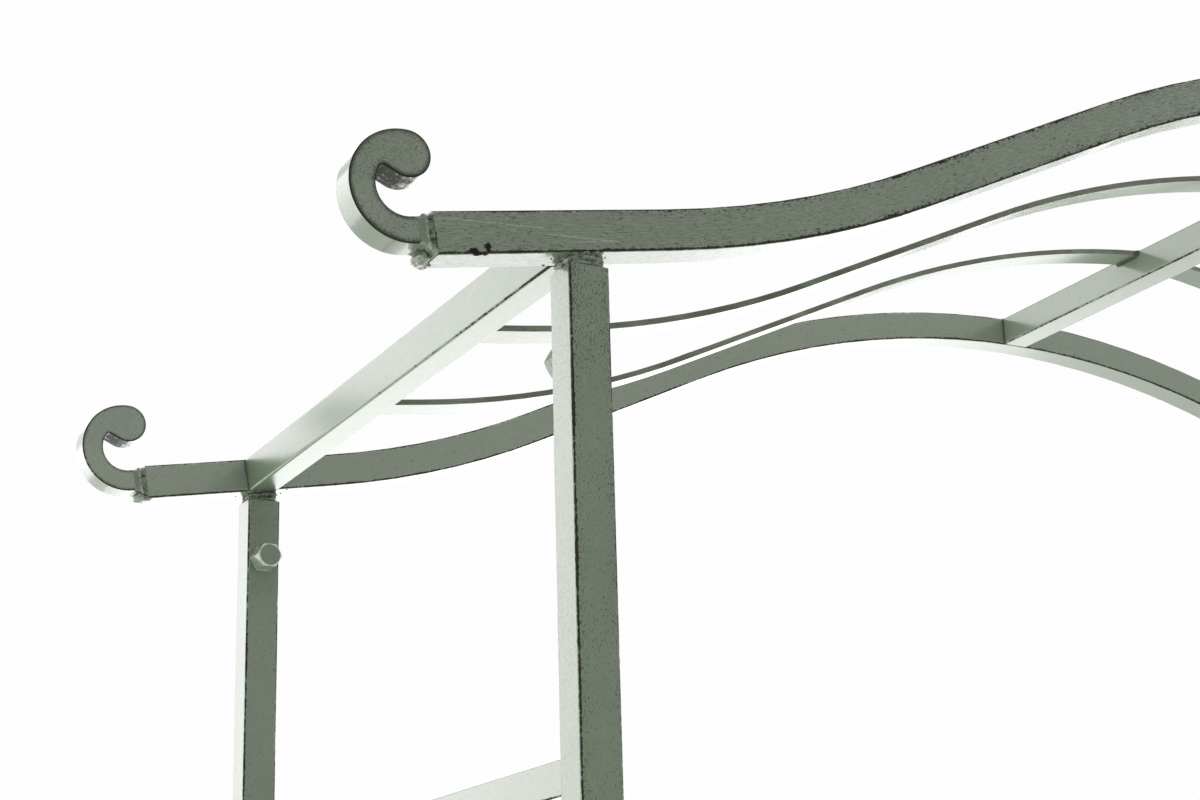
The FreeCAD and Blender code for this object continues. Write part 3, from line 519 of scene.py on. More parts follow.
class WornPaint(Finish):
    """Sage paint with drift, worn pale patches, pits and worn edges.

    grain: factors on the paint's marks along X, Y and Z
    pitting: how thick the pits are, from 0 to 1
    wear: how far the edges are worn through, from 0 to 1
    shape: the rails' line, for marks that follow it
    """

    def __init__(self, name, paint, grain, pitting, wear, shape=None):
        super().__init__(name)
        self.paint = paint
        self.wear = wear
        self.marks = self.unbent(shape) if shape else self.place
        grained = self.scaled(self.moved(self.marks, GRAIN_SHIFT), grain)
        drift = self.noise(self.marks, DRIFT_SCALE, 3.0)
        self.mottle = self.noise(grained, MOTTLE_SCALE, 5.0, 0.65)
        self.fine = self.noise(grained, 0.9 / paint.pit_size, 4.0, 0.7)
        colour = self.mix(self.step(drift, 0.32, 0.68, 0.6), paint.sage, paint.moss_and_shade)
        colour = self.mix(self.step(self.mottle, 0.50, 0.80, 0.22), colour, paint.chalk_and_highlight)
        self.colour = self.mix(self.step(self.fine, 0.48, 0.70, 0.6), colour, paint.moss_and_shade)

        crowd = self.noise(self.moved(self.marks, CROWD_SHIFT), CROWD_SCALE, 3.0)
        speck = self.noise(grained, 1.0 / paint.pit_size, 3.0, 0.6)
        crowded = self.step(crowd, 0.30, 0.70, 0.06 * pitting)
        self.speck = self.plus(speck, crowded)
        self.toward = self.plus(self.times(self.facing(ALONG_Y), 0.7), 0.3)
        self.depth = 0.45 + 0.2 * pitting
        self.bare_and_shaded = None

    def crowd_pits(self, amount):
        """Brings more pits where the amount is high."""
        self.speck = self.plus(self.speck, amount)

    def off_centre(self, axis, centre):
        """Distance from a bar's centreline along an axis, for the bar and its twin across the arch."""
        return self.unsigned(self.minus(self.unsigned(self.dot(self.marks, axis)), centre))

    def crowd_along_bar(self, axis, centre, amount):
        """Brings more pits beside the long edges of a tube."""
        self.crowd_pits(self.step(self.off_centre(axis, centre), TUBE / 2 * 0.35, TUBE / 2, amount))

    def beside_edge(self, axis, centre, reach, amount):
        """Rises to an amount within a reach of the long edges of a tube, on its front and back face."""
        band = self.step(self.off_centre(axis, centre), TUBE / 2 - reach, TUBE / 2, amount)
        return self.times(band, self.facing(ALONG_Y))

    def brush(self, amount, stroke):
        """Short dark and pale strokes along the bar, which the brush left in the paint."""
        drawn = self.noise(self.scaled(self.marks, stroke), 1.0 / self.paint.pit_size, 2.0, 0.5)
        dark = self.step(drawn, 0.50, 0.64)
        pale = self.rest_of(self.step(drawn, 0.34, 0.48))
        self.stain(self.times(dark, amount), self.paint.scar_and_shade)
        self.stain(self.times(pale, amount), self.paint.chalk_and_highlight)

    def fleck(self, size, amount):
        """Coarse dark flecks where the paint has burst."""
        spot = self.noise(self.moved(self.marks, FLECK_SHIFT), 1.0 / size, 2.0, 0.5)
        self.stain(self.times(self.step(spot, 0.59, 0.67), amount), self.paint.scar_and_shade)

    def wear_edges(self, nearness):
        """Bares the metal where the nearness of an edge and the noise add up."""
        heavy = self.minus(self.noise(self.place, HEAVY_SCALE, 3.0), 0.5)
        ragged = self.minus(self.noise(self.place, RAGGED_SCALE, 4.0, 0.7), 0.5)
        shift = self.plus(self.times(heavy, 1.6), self.times(ragged, 2.4))
        total = self.plus(nearness, shift)
        bare_and_shaded = self.step(total, 0.92 - 0.6 * self.wear, 1.12 - 0.6 * self.wear, 0.94)
        self.bare_and_shaded = self.times(bare_and_shaded, self.step(nearness, 0.02, 0.1))

    def bare_spot(self, place, size):
        """A chip in the paint at one place, with ragged edges."""
        out = self.scaled(self.moved(self.place, -Vector(place)), [1 / each for each in size])
        ragged = self.minus(self.noise(self.place, CHIP_SCALE, 5.0, 0.75), 0.5)
        reach = self.plus(self.length(out), self.times(ragged, 3.6))
        spot = self.rest_of(self.step(reach, 0.85, 1.0))
        self.bare_and_shaded = self.larger(self.bare_and_shaded, spot)

    def stain(self, amount, colour):
        self.colour = self.mix(amount, self.colour, colour)

    def scratch(self, start, end, width, front):
        """A pale scratch from one place to another on faces that look to the front."""
        run = Vector(end) - Vector(start)
        direction = run.normalized()
        beside = direction.cross(ALONG_Y)
        from_start = self.moved(self.place, -Vector(start))
        reach = self.dot(from_start, direction)
        off = self.unsigned(self.dot(from_start, beside))
        broken = self.noise(self.place, SCRATCH_SCALE, 3.0, 0.7)
        line = self.rest_of(self.step(off, width * 0.4, width))
        begun = self.math("GREATER_THAN", reach, 0.0)
        not_over = self.math("LESS_THAN", reach, run.length)
        for share in (self.step(broken, 0.36, 0.52), begun, not_over, front, 0.5):
            line = self.times(line, share)
        self.stain(line, self.paint.scratch)

    def done(self, gloss=1.0, haze=0.14):
        """Joins the layers and returns the material, whose gloss is dulled by a haze."""
        # Where the paint is bare, the colour turns to dark metal. The same dark metal also stands for
        # painted shade in the weld furrows and deep in the scrolls' hooks.
        rusty = self.noise(self.place, RUST_SCALE, 4.0, 0.6)
        metal = self.mix(self.step(rusty, 0.45, 0.62), self.paint.scar_and_shade, self.paint.rust)
        pits = self.times(self.step(self.speck, 0.61, 0.71, self.depth), self.toward)
        bare_and_shaded = pits if self.bare_and_shaded is None else self.larger(pits, self.bare_and_shaded)
        roughness = self.plus(self.plus(0.26, self.times(self.fine, 0.20)), self.times(bare_and_shaded, 0.3))
        painted = self.rest_of(bare_and_shaded)
        height = self.plus(self.times(self.fine, 0.35), self.times(self.mottle, 0.45))
        bump = {"Strength": BUMP_STRENGTH, "Distance": BUMP_DEPTH, "Height": self.minus(height, bare_and_shaded)}
        self.surface(
            Base_Color=self.mix(bare_and_shaded, self.colour, metal), Roughness=roughness,
            Specular_IOR_Level=self.times(painted, 0.55 * gloss), Coat_Weight=self.times(painted, gloss),
            Coat_Roughness=haze, Normal=self.add("Bump", bump)["Normal"])
        return self.material


def dress(nodes, material):
    """Gives CAD nodes a material."""
    for name in nodes:
        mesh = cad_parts[name].data
        mesh.materials.clear()
        mesh.materials.append(material)


def weld_finish(name, paint, painted_shade=0.0, rail_end=None):
    """Painted weld: pale on the ripples as painted highlight, dark in the furrows as painted shade,
    darkened all over by a share of painted shade, and flaked beside a rail's end.
    """
    worn = WornPaint(name, paint, EVEN, 0.75, 0.5)
    # Painted shade: the whole weld is darkened towards dark metal, and its gloss is dulled by the same
    # share.
    if painted_shade:
        worn.stain(painted_shade, paint.scar_and_shade)
    # Painted highlight on the ripples and painted shade in the furrows, read from the mesh's pointiness.
    height = worn.add("NewGeometry")["Pointiness"]
    worn.stain(worn.step(height, 0.502, 0.54, 0.8 - 0.8 * painted_shade), paint.chalk_and_highlight)
    worn.bare_and_shaded = worn.rest_of(worn.step(height, 0.42, 0.485))
    if rail_end:
        outward = rail_end.col[0].to_3d()
        apart = worn.vector_math("ABSOLUTE", worn.place)["Vector"]
        reach = worn.minus(worn.dot(apart, outward), outward.dot(rail_end.translation))
        near = worn.rest_of(worn.step(reach, WELD_FLAKE_NEAR, WELD_FLAKE_FAR))
        near = worn.times(near, worn.step(worn.facing(ALONG_Y), 0.3, 0.8))
        flaked = worn.step(worn.noise(worn.place, WELD_FLAKE_SCALE, 4.0, 0.7), 0.46, 0.58, 0.8)
        worn.bare_and_shaded = worn.larger(worn.bare_and_shaded, worn.times(near, flaked))
    return worn.done(1.0 - painted_shade)


# Weld meshes

def rounded_outline(width, height, corner, per_corner, per_side):
    """Points round a rectangle with rounded corners, each with its outward direction."""
    points = []
    centre_x = width / 2 - corner
    centre_y = height / 2 - corner
    quarters = ((1, 1), (-1, 1), (-1, -1), (1, -1))
    for turn, (x, y) in enumerate(quarters):
        centre = Vector((x * centre_x, y * centre_y))
        for step in range(per_corner + 1):
            angle = (turn + step / per_corner) * math.pi / 2
            out = Vector((math.cos(angle), math.sin(angle)))
            points.append((centre + corner * out, out))
        next_x, next_y = quarters[(turn + 1) % 4]
        next_centre = Vector((next_x * centre_x, next_y * centre_y))
        for step in range(1, per_side):
            share = step / per_side
            points.append((centre.lerp(next_centre, share) + corner * out, out))
    return points


def hexagon_outline(flats, per_side):
    """Points round a hexagon with a corner to the side, each with its outward direction."""
    points = []
    radius = flats / math.sqrt(3)
    for turn in range(6):
        start = Vector((math.cos(turn * math.pi / 3), math.sin(turn * math.pi / 3))) * radius
        end = Vector((math.cos((turn + 1) * math.pi / 3), math.sin((turn + 1) * math.pi / 3))) * radius
        out = (start + end).normalized()
        for step in range(per_side):
            points.append((start.lerp(end, step / per_side), out))
    return points


def cover(mesh, rings, round_again=False):
    """Skin of faces through rings of points, which runs on to the first ring or is closed at both ends."""
    rows = [[mesh.verts.new(point) for point in ring] for ring in rings]
    following = rows[1:] + rows[:1] if round_again else rows[1:]
    for row, after in zip(rows, following):
        for step in range(len(row)):
            other = (step + 1) % len(row)
            mesh.faces.new((row[step], row[other], after[other], after[step]))
    if not round_again:
        mesh.faces.new(rows[0])
        mesh.faces.new(list(reversed(rows[-1])))


def bead_round(mesh, outline, place, legs, ripple, seed):
    """Fillet weld round a bar that meets a face.

    The place's XY plane is the face, its Z axis the bar. The legs lie beside, above and below the bar.
    The bead's section is a flattened quarter round, and its last point, the root, lies inside the bar.
    """
    beside, above, below = legs
    highest = max(point.y for point, out in outline) + above - FLUSH
    lowest = min(point.y for point, out in outline) - below + FLUSH
    rings = []
    run = 0.0
    before = outline[-1][0]
    for point, out in outline:
        run += (point - before).length
        before = point
        at = place @ Vector((point.x, point.y, 0.0))
        drift = noise.noise(at * BEAD_SCALE + Vector((seed, 0, 0)))
        wave = math.sin(2 * math.pi * run / ripple + 2.0 * drift)
        leg = beside * out.x ** 2 + (above if out.y > 0 else below) * out.y ** 2
        size = leg * (1.0 + BEAD_UNEVEN * drift + BEAD_WAVE * wave)
        ring = []
        for step in range(BEAD_STEPS + 1):
            angle = step / BEAD_STEPS * math.pi / 2
            bulge = size * (1.0 - BEAD_HOLLOW * math.sin(2 * angle))
            side = point + out * (bulge * math.cos(angle) - FLUSH)
            level = min(max(side.y, lowest), highest)
            ring.append(place @ Vector((side.x, level, bulge * math.sin(angle) - FLUSH)))
        inside = point - out * ROOT_IN
        ring.append(place @ Vector((inside.x, inside.y, -ROOT_DEEP)))
        rings.append(ring)
    cover(mesh, rings, round_again=True)


def roughness_at(place, softness=0.8):
    """Noise in four octaves, for the skin of the large welds."""
    return noise.fractal(place, softness, 2.0, 4)


def lump(mesh, place, size, height, seed):
    """A round drop of weld with a lumpy skin."""
    made = bmesh.ops.create_icosphere(mesh, subdivisions=4, radius=1.0)
    for vert in made["verts"]:
        way = vert.co.normalized()
        rough = roughness_at(way * DROP_SCALE + Vector((seed, seed, 0)))
        stretched = Vector((way.x * size[0], way.y * size[1], way.z * size[2]))
        vert.co = place @ (stretched + way * height * rough)


def weld_object(name, mesh, body, material):
    """Makes a piece of a finished weld mesh, on a body."""
    bmesh.ops.remove_doubles(mesh, verts=mesh.verts, dist=SAME_PLACE)
    bmesh.ops.recalc_face_normals(mesh, faces=mesh.faces)
    data = bpy.data.meshes.new(name)
    mesh.to_mesh(data)
    mesh.free()
    for polygon in data.polygons:
        polygon.use_smooth = True
    data.materials.append(material)
    piece = bpy.data.objects.new(name, data)
    bpy.context.scene.collection.objects.link(piece)
    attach(piece, body)
    return piece


def facing_place(origin, bar, upward):
    """Frame at an origin whose Z axis runs along a bar and whose Y axis is as near upward as it can be."""
    axis = Vector(bar).normalized()
    right = Vector(upward).cross(axis).normalized()
    return frame_at(origin, right, axis.cross(right), axis)


def bar_ends(name, upward):
    """The two ends of a bar that runs from front to back, each with its Y and its frame."""
    low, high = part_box(name)
    centre = (low + high) / 2
    return [(y, facing_place(Vector((centre.x, y, centre.z)), way, upward))
            for y, way in ((low.y, ALONG_Y), (high.y, -ALONG_Y))]


def rail_end_place(corner, slope):
    """Frame at a rail's end: X out of the rail, Y along the walkway, Z out of the rail's top."""
    side = side_of(corner)
    reach = (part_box("front_rail")[1].x - TUBE / 2 * math.sin(slope)) + EAVE.x
    drop = reach * math.tan(slope)
    y = middle(corner + "_post").y
    origin = Vector((side * (-EAVE.x + reach), y, EAVE.z - drop))
    out, up = eave_axes(side, slope)
    return frame_at(origin, out, up.cross(out), up)


# Operators: paint

class ArchOperator:
    """What every operator of the arch shares."""

    bl_options = {"REGISTER", "UNDO"}


class ARCH_OT_paint_posts(ArchOperator, bpy.types.Operator):
    """Paint the posts, the spigots inside them and the base plates"""

    bl_idname = "arch.paint_posts"
    bl_label = "Paint Posts"

    def execute(self, context):
        paint = context.scene.arch_paint
        post = middle("front_right_post")
        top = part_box("front_right_post")[1].z
        # The last number of each row is a painted highlight: a share of chalk that makes the back posts
        # paler all over.
        for end, pitting, wear, rubbed_and_lit in (("front", 1.0, 0.78, 0.0), ("back", 0.35, 0.65, 0.16)):
            worn = WornPaint("sage_%s_post" % end, paint, POST_GRAIN, pitting, wear)
            worn.wear_edges(worn.rounded_corner(ALONG_X, ALONG_Y))
            worn.crowd_along_bar(ALONG_X, post.x, 0.05 * pitting)
            height = worn.dot(worn.place, ALONG_Z)
            worn.crowd_pits(worn.step(height, top - WORN_TOP, top, 0.045 * pitting))
            worn.stain(rubbed_and_lit, paint.chalk_and_highlight)
            dress(at_corners("_post", end) + at_corners("_spigot", end), worn.done())

        plate = WornPaint("sage_plate", paint, EVEN, 0.9, 0.7)
        plate.wear_edges(plate.near_edge(paint.wear_width))
        dress(at_corners("_foot"), plate.done())
        return {"FINISHED"}


class ARCH_OT_paint_rails(ArchOperator, bpy.types.Operator):
    """Paint the two bent rails, with the scratches and chips of the front one"""

    bl_idname = "arch.paint_rails"
    bl_label = "Paint Rails"

    def execute(self, context):
        paint = context.scene.arch_paint
        shape = context.scene.arch_shape
        slope = shape.eave_slope
        back = WornPaint("sage_back_rail", paint, RAIL_GRAIN, 0.2, 0.8, shape)
        back.wear_edges(back.rounded_rim(ALONG_Y))
        # Painted highlight: the back rail is made paler all over with chalk.
        back.stain(0.45, paint.chalk_and_highlight)
        dress(["back_rail"], back.done())

        front = WornPaint("sage_front_rail", paint, RAIL_GRAIN, 1.0, 1.0, shape)
        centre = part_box("front_rail")[1].z - TUBE / 2
        front.crowd_along_bar(ALONG_Z, centre, 0.07)
        from_ridge = front.unsigned(front.dot(front.place, ALONG_X))
        brushed = front.minus(0.85, front.step(from_ridge, BRUSH_NEAR, BRUSH_FAR, 0.6))
        front.brush(brushed, BRUSH_STROKE)
        rim = front.rounded_rim(ALONG_Y)
        band = front.beside_edge(ALONG_Z, centre, paint.wear_width, 0.34)
        front.wear_edges(front.larger(rim, band))
        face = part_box("front_rail")[0].y

        def on_face(along, above):
            """A place on the front face near the left eave, measured from the eave bar's centre."""
            x = EAVE.x + along * math.cos(slope) - above * math.sin(slope)
            return Vector((x, face, EAVE.z + along * math.sin(slope) + above * math.cos(slope)))

        forward = front.step(front.dot(front.normal, -ALONG_Y), 0.8, 0.95)
        for start, end in SCRATCHES:
            front.scratch(on_face(*start), on_face(*end), SCRATCH_WIDTH, forward)
        for place, size in CHIPS:
            front.bare_spot(on_face(*place), size)
        dress(["front_rail"], front.done())
        return {"FINISHED"}


class ARCH_OT_paint_bars(ArchOperator, bpy.types.Operator):
    """Paint the eave bars, the ridge bar and the rungs"""

    bl_idname = "arch.paint_bars"
    bl_label = "Paint Cross Bars"

    def execute(self, context):
        paint = context.scene.arch_paint
        slope = context.scene.arch_shape.eave_slope
        # The last number of each row is a painted highlight: a share of chalk that makes the bars paler
        # all over, the ridge bar most.
        for name, bars, rubbed_and_lit in (("sage_rung", RUNGS, 0.12), ("sage_ridge_bar", ["ridge_bar"], 0.5)):
            level = WornPaint(name, paint, BAR_GRAIN, 0.5, 0.4)
            corner = level.rounded_corner(ALONG_X, ALONG_Z)
            level.wear_edges(level.times(corner, level.looking(-ALONG_Z)))
            level.stain(rubbed_and_lit, paint.chalk_and_highlight)
            dress(bars, level.done())
        for side, name in ((-1, "left_eave_bar"), (1, "right_eave_bar")):
            tilted = WornPaint("sage_" + name, paint, BAR_GRAIN, 0.5, 0.6)
            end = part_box(name)[1].y
            forward = tilted.dot(tilted.place, -ALONG_Y)
            near_front = tilted.plus(tilted.step(forward, end * 0.1, end, 0.75), 0.35)
            corner = tilted.times(tilted.rounded_corner(*eave_axes(side, slope)), near_front)
            tilted.wear_edges(tilted.times(corner, tilted.looking(-ALONG_Z)))
            dress([name], tilted.done(haze=0.26))
        return {"FINISHED"}


class ARCH_OT_paint_scrolls(ArchOperator, bpy.types.Operator):
    """Paint the scroll ends, which are pitted and worn dark along their edges, with painted shade on their
    downward faces and deep in their hooks
    """

    bl_idname = "arch.paint_scrolls"
    bl_label = "Paint Scrolls"

    def execute(self, context):
        paint = context.scene.arch_paint
        # The last number of each row is a painted highlight: a share of chalk that makes the scrolls paler
        # all over, the back ones more.
        for end, pitting, rubbed_and_lit in (("front", 1.2, 0.26), ("back", 0.5, 0.60)):
            worn = WornPaint("sage_%s_scroll" % end, paint, EVEN, pitting, 0.5 + 0.3 * pitting)
            flat = worn.facing(ALONG_Y)
            edge = worn.times(worn.near_edge(paint.wear_width * 2), flat)
            ragged = worn.times(edge, 3.2 * pitting)
            worn.fleck(FLECK_SIZE, worn.times(flat, 0.6 * pitting))
            worn.wear_edges(worn.larger(worn.rounded_rim(ALONG_Y), ragged))
            worn.crowd_pits(worn.times(worn.plus(edge, 0.5), 0.05 * pitting))
            # Painted shade: downward faces beside the front and back faces are stained towards moss.
            under = worn.step(worn.dot(worn.normal, -ALONG_Z), -0.2, 0.7, 0.6)
            worn.stain(worn.times(under, worn.rest_of(flat)), paint.moss_and_shade)
            worn.stain(rubbed_and_lit, paint.chalk_and_highlight)
            # Under the hook the paint flakes dark. Deeper in, towards the stem, the dark thickens as
            # painted shade.
            height = worn.dot(worn.place, ALONG_Z)
            stem = middle("front_left_scroll").z
            hook = worn.times(under, worn.step(height, stem + HOOK_START, stem + HOOK_FULL))
            outward = worn.unsigned(worn.dot(worn.place, ALONG_X))
            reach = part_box("front_right_scroll")[1].x
            hook_shade = worn.step(outward, reach - HOOK_SHADE_START, reach - HOOK_SHADE_FULL, 0.16)
            flakes = worn.plus(worn.noise(worn.place, FLAKE_SCALE, 4.0, 0.7), hook_shade)
            flaked = worn.step(flakes, 0.49, 0.62, 1.2)
            worn.bare_and_shaded = worn.larger(worn.bare_and_shaded, worn.times(hook, flaked))
            dress(at_corners("_scroll", end), worn.done())
        return {"FINISHED"}


class ARCH_OT_paint_slats(ArchOperator, bpy.types.Operator):
    """Paint the bent flat bars, whose narrow edges are dirty"""

    bl_idname = "arch.paint_slats"
    bl_label = "Paint Slats"

    def execute(self, context):
        paint = context.scene.arch_paint
        worn = WornPaint("sage_slat", paint, SLAT_GRAIN, 0.5, 0.5, context.scene.arch_shape)
        dirt = worn.noise(worn.scaled(worn.place, DIRT_GRAIN), DIRT_SCALE, 5.0)
        narrow = worn.times(worn.facing(ALONG_Y), worn.step(dirt, 0.25, 0.6))
        worn.stain(narrow, paint.edge_olive)
        worn.wear_edges(worn.times(worn.near_edge(paint.wear_width * 0.25), 0.9))
        dress(at_corners("_slat"), worn.done())
        return {"FINISHED"}


class ARCH_OT_paint_fasteners(ArchOperator, bpy.types.Operator):
    """Paint the bolts and nuts, whose rims are worn to zinc at the edges and given a painted glint on the
    chamfers
    """

    bl_idname = "arch.paint_fasteners"
    bl_label = "Paint Fasteners"

    def execute(self, context):
        paint = context.scene.arch_paint
        worn = WornPaint("sage_fastener", paint, EVEN, 0.7, 0.6)
        ragged = worn.noise(worn.place, RIM_SCALE, 4.0, 0.7)
        flat = worn.facing(ALONG_Y)
        # Painted glint on the slanted chamfer faces, and worn zinc along the edges of the flat faces, both
        # in the zinc colour.
        chamfer_glint = worn.minus(worn.step(flat, 0.4, 0.6), worn.step(flat, 0.85, 0.95))
        rubbed_and_lit = worn.times(worn.near_edge(paint.wear_width * 0.35), flat)
        rim = worn.plus(worn.larger(chamfer_glint, rubbed_and_lit), ragged)
        worn.stain(0.42, paint.chalk_and_highlight)
        worn.stain(worn.step(rim, 0.72, 0.95), paint.zinc_and_glint)
        dress(at_corners("_bolt") + [side + "_nuts" for side in SIDE_FRAMES], worn.done(0.6))
        return {"FINISHED"}


# Operators: welds

class ARCH_OT_weld_scrolls(ArchOperator, bpy.types.Operator):
    """Weld each scroll's shank into its rail end, with a drop hanging below"""

    bl_idname = "arch.weld_scrolls"
    bl_label = "Weld Scrolls"

    def execute(self, context):
        welds = context.scene.arch_welds
        mesh = bmesh.new()
        for number, corner in enumerate(CORNERS):
            place = rail_end_place(corner, context.scene.arch_shape.eave_slope)
            self.collar(mesh, place, welds, 7.0 * number)
            for (out, sideways, up), size, height, seed in DROPS:
                hung = place @ Matrix.Translation((out, end_of(corner) * sideways, up))
                lump(mesh, hung, size, height, seed + number)
        right_end = rail_end_place("front_right", context.scene.arch_shape.eave_slope)
        # The scroll welds get a little painted shade.
        material = weld_finish("weld_scroll", context.scene.arch_paint, 0.12, right_end)
        piece = weld_object("scroll_weld_beads", mesh, "canopy", material)
        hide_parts("scroll_welds")
        return {"FINISHED"}

    def collar(self, mesh, place, welds, seed):
        """The weld that runs from the rail's end down onto the shank, in two ragged passes."""
        steps = 28
        shank_depth = across("front_left_scroll", 1)
        rail_inset, shank_inset = 0.0012, 0.0004
        rail_corner, shank_corner = 0.0030, 0.0008
        crest_place, crest_shift, crest_width = 0.42, 0.10, 0.11
        rings = []
        for step in range(steps + 1):
            share = step / steps
            fall = 1.0 - (1.0 - share) ** 2.2
            width = (TUBE - rail_inset) * (1 - fall) + (shank_depth - shank_inset) * fall
            height = (TUBE - rail_inset) * (1 - fall) + (welds.shank_height - shank_inset) * fall
            swell = welds.lump * 0.5 * math.sin(math.pi * share) ** 0.8
            corner = rail_corner * (1 - share) + shank_corner * share
            ring = []
            for point, out in rounded_outline(width, height, corner, per_corner=5, per_side=24):
                at = place @ Vector((share * welds.collar, point.x, point.y))
                rough = roughness_at(at * COLLAR_SCALE + Vector((seed, 0, 0)))
                crest = crest_place + crest_shift * noise.noise(at * CREST_SCALE + Vector((0, seed, 0)))
                ridge = welds.lump * (1.0 + 1.2 * rough) * math.exp(-((share - crest) / crest_width) ** 2)
                side = point + out * (swell * (1.0 + 0.5 * rough) + ridge)
                lifted = side.y + welds.shank_lift * fall
                ring.append(place @ Vector((share * welds.collar, side.x, lifted)))
            rings.append(ring)
        cover(mesh, rings)


class ARCH_OT_weld_spigots(ArchOperator, bpy.types.Operator):
    """Weld each spigot to its rail, with lumps and spatter"""

    bl_idname = "arch.weld_spigots"
    bl_label = "Weld Spigots"

    def execute(self, context):
        welds = context.scene.arch_welds
        slope = context.scene.arch_shape.eave_slope
        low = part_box("spigot_welds")[0]
        mesh = bmesh.new()
        dice = random.Random(11)
        for number, corner in enumerate(CORNERS):
            post = middle(corner + "_post")
            self.collar(mesh, welds, slope, Vector((post.x, post.y, low.z)), side_of(corner), 5.0 * number)
            self.spatter(mesh, slope, post, side_of(corner), dice)
        # The spigot welds, under the rails, get more painted shade.
        material = weld_finish("weld_spigot", context.scene.arch_paint, 0.4)
        piece = weld_object("spigot_weld_beads", mesh, "canopy", material)
        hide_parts("spigot_welds")
        return {"FINISHED"}

    def underside(self, slope, post, side, x):
        """Height of the rail's underside at a distance to the right of the post's centre."""
        at_eave = EAVE.z - TUBE / 2 / math.cos(slope)
        return at_eave - side * (post.x + x - side * abs(EAVE.x)) * math.tan(slope)

    def collar(self, mesh, welds, slope, base, side, seed):
        """Lumpy weld round the spigot from the post's top to the rail's sloping underside."""
        steps = 10
        oversize, corner, above_post, into_rail = 0.0006, 0.004, 0.0003, 0.0004
        width = across("front_left_spigot") + oversize
        rings = []
        for step in range(steps + 1):
            share = step / steps
            swell = welds.lump * (0.5 + 1.0 * abs(math.sin(2.3 * math.pi * share + 0.4)))
            ring = []
            for point, out in rounded_outline(width, width, corner, per_corner=6, per_side=16):
                top = self.underside(slope, base, side, point.x) + into_rail
                z = base.z + above_post + (top - base.z - above_post) * share
                at = Vector((base.x + point.x, base.y + point.y, z))
                rough = roughness_at(at * SPIGOT_SCALE + Vector((seed, 0, 0)), 0.7)
                spread = point + out * (swell * (0.6 + 1.3 * rough))
                ring.append(Vector((base.x + spread.x, base.y + spread.y, z)))
            rings.append(ring)
        cover(mesh, rings)

    def spatter(self, mesh, slope, post, side, dice):
        """Small balls of weld on the rail's underside beside the spigot."""
        for _ in range(SPATTER_TRIES):
            x = dice.uniform(-SPATTER_X, SPATTER_X)
            y = dice.uniform(-SPATTER_Y, SPATTER_Y)
            if abs(x) < SPATTER_CLEAR:
                continue
            ball = dice.uniform(*SPATTER_SIZE)
            place = Matrix.Translation((post.x + x, post.y + y, self.underside(slope, post, side, x)))
            made = bmesh.ops.create_icosphere(mesh, subdivisions=2, radius=ball)
            for vert in made["verts"]:
                vert.co = place @ Vector((vert.co.x, vert.co.y, vert.co.z * SPATTER_FLAT))


class ARCH_OT_weld_canopy(ArchOperator, bpy.types.Operator):
    """Run beads round the eave bars, the ridge bar and the ends of the flat bars"""

    bl_idname = "arch.weld_canopy"
    bl_label = "Weld Canopy Bars"

    def execute(self, context):
        welds = context.scene.arch_welds
        outline = rounded_outline(TUBE, TUBE, TUBE_CORNER, per_corner=4, per_side=16)
        mesh = bmesh.new()
        seed = 0.0
        slope = context.scene.arch_shape.eave_slope
        upwards = {"left_eave_bar": eave_axes(-1, slope)[1], "right_eave_bar": eave_axes(1, slope)[1],
                   "ridge_bar": ALONG_Z}
        for name, upward in upwards.items():
            for _, place in bar_ends(name, upward):
                bead_round(mesh, outline, place, (welds.bead, FLUSH, FLUSH), welds.ripple, seed)
                seed += 13.0
        for corner in CORNERS:
            self.slat_ends(mesh, welds, slope, corner)
        # The canopy's beads, in the joints, get heavy painted shade.
        material = weld_finish("weld_canopy", context.scene.arch_paint, 0.8)
        weld_object("canopy_weld_beads", mesh, "canopy", material)
        return {"FINISHED"}

    def slat_ends(self, mesh, welds, slope, corner):
        """Beads at a flat bar's two ends, on the eave bar and on the ridge bar."""
        low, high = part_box(corner + "_slat")
        side = side_of(corner)
        outline = rounded_outline(high.y - low.y, SLAT_THICK, SLAT_CORNER, per_corner=2, per_side=12)
        y = (low.y + high.y) / 2
        outer, inner = (low.x, high.x) if side < 0 else (high.x, low.x)
        eave_out, eave_up = eave_axes(side, slope)
        at_eave = facing_place(Vector((outer, y, low.z + SLAT_THICK / 2)), -eave_out, eave_up)
        at_ridge = facing_place(Vector((inner, y, high.z - SLAT_THICK / 2)), side * ALONG_X, ALONG_Z)
        leg = welds.slat_bead
        bead_round(mesh, outline, at_eave, (leg, leg, leg), welds.ripple, low.y * 90)
        bead_round(mesh, outline, at_ridge, (leg, FLUSH, leg), welds.ripple, high.y * 70)


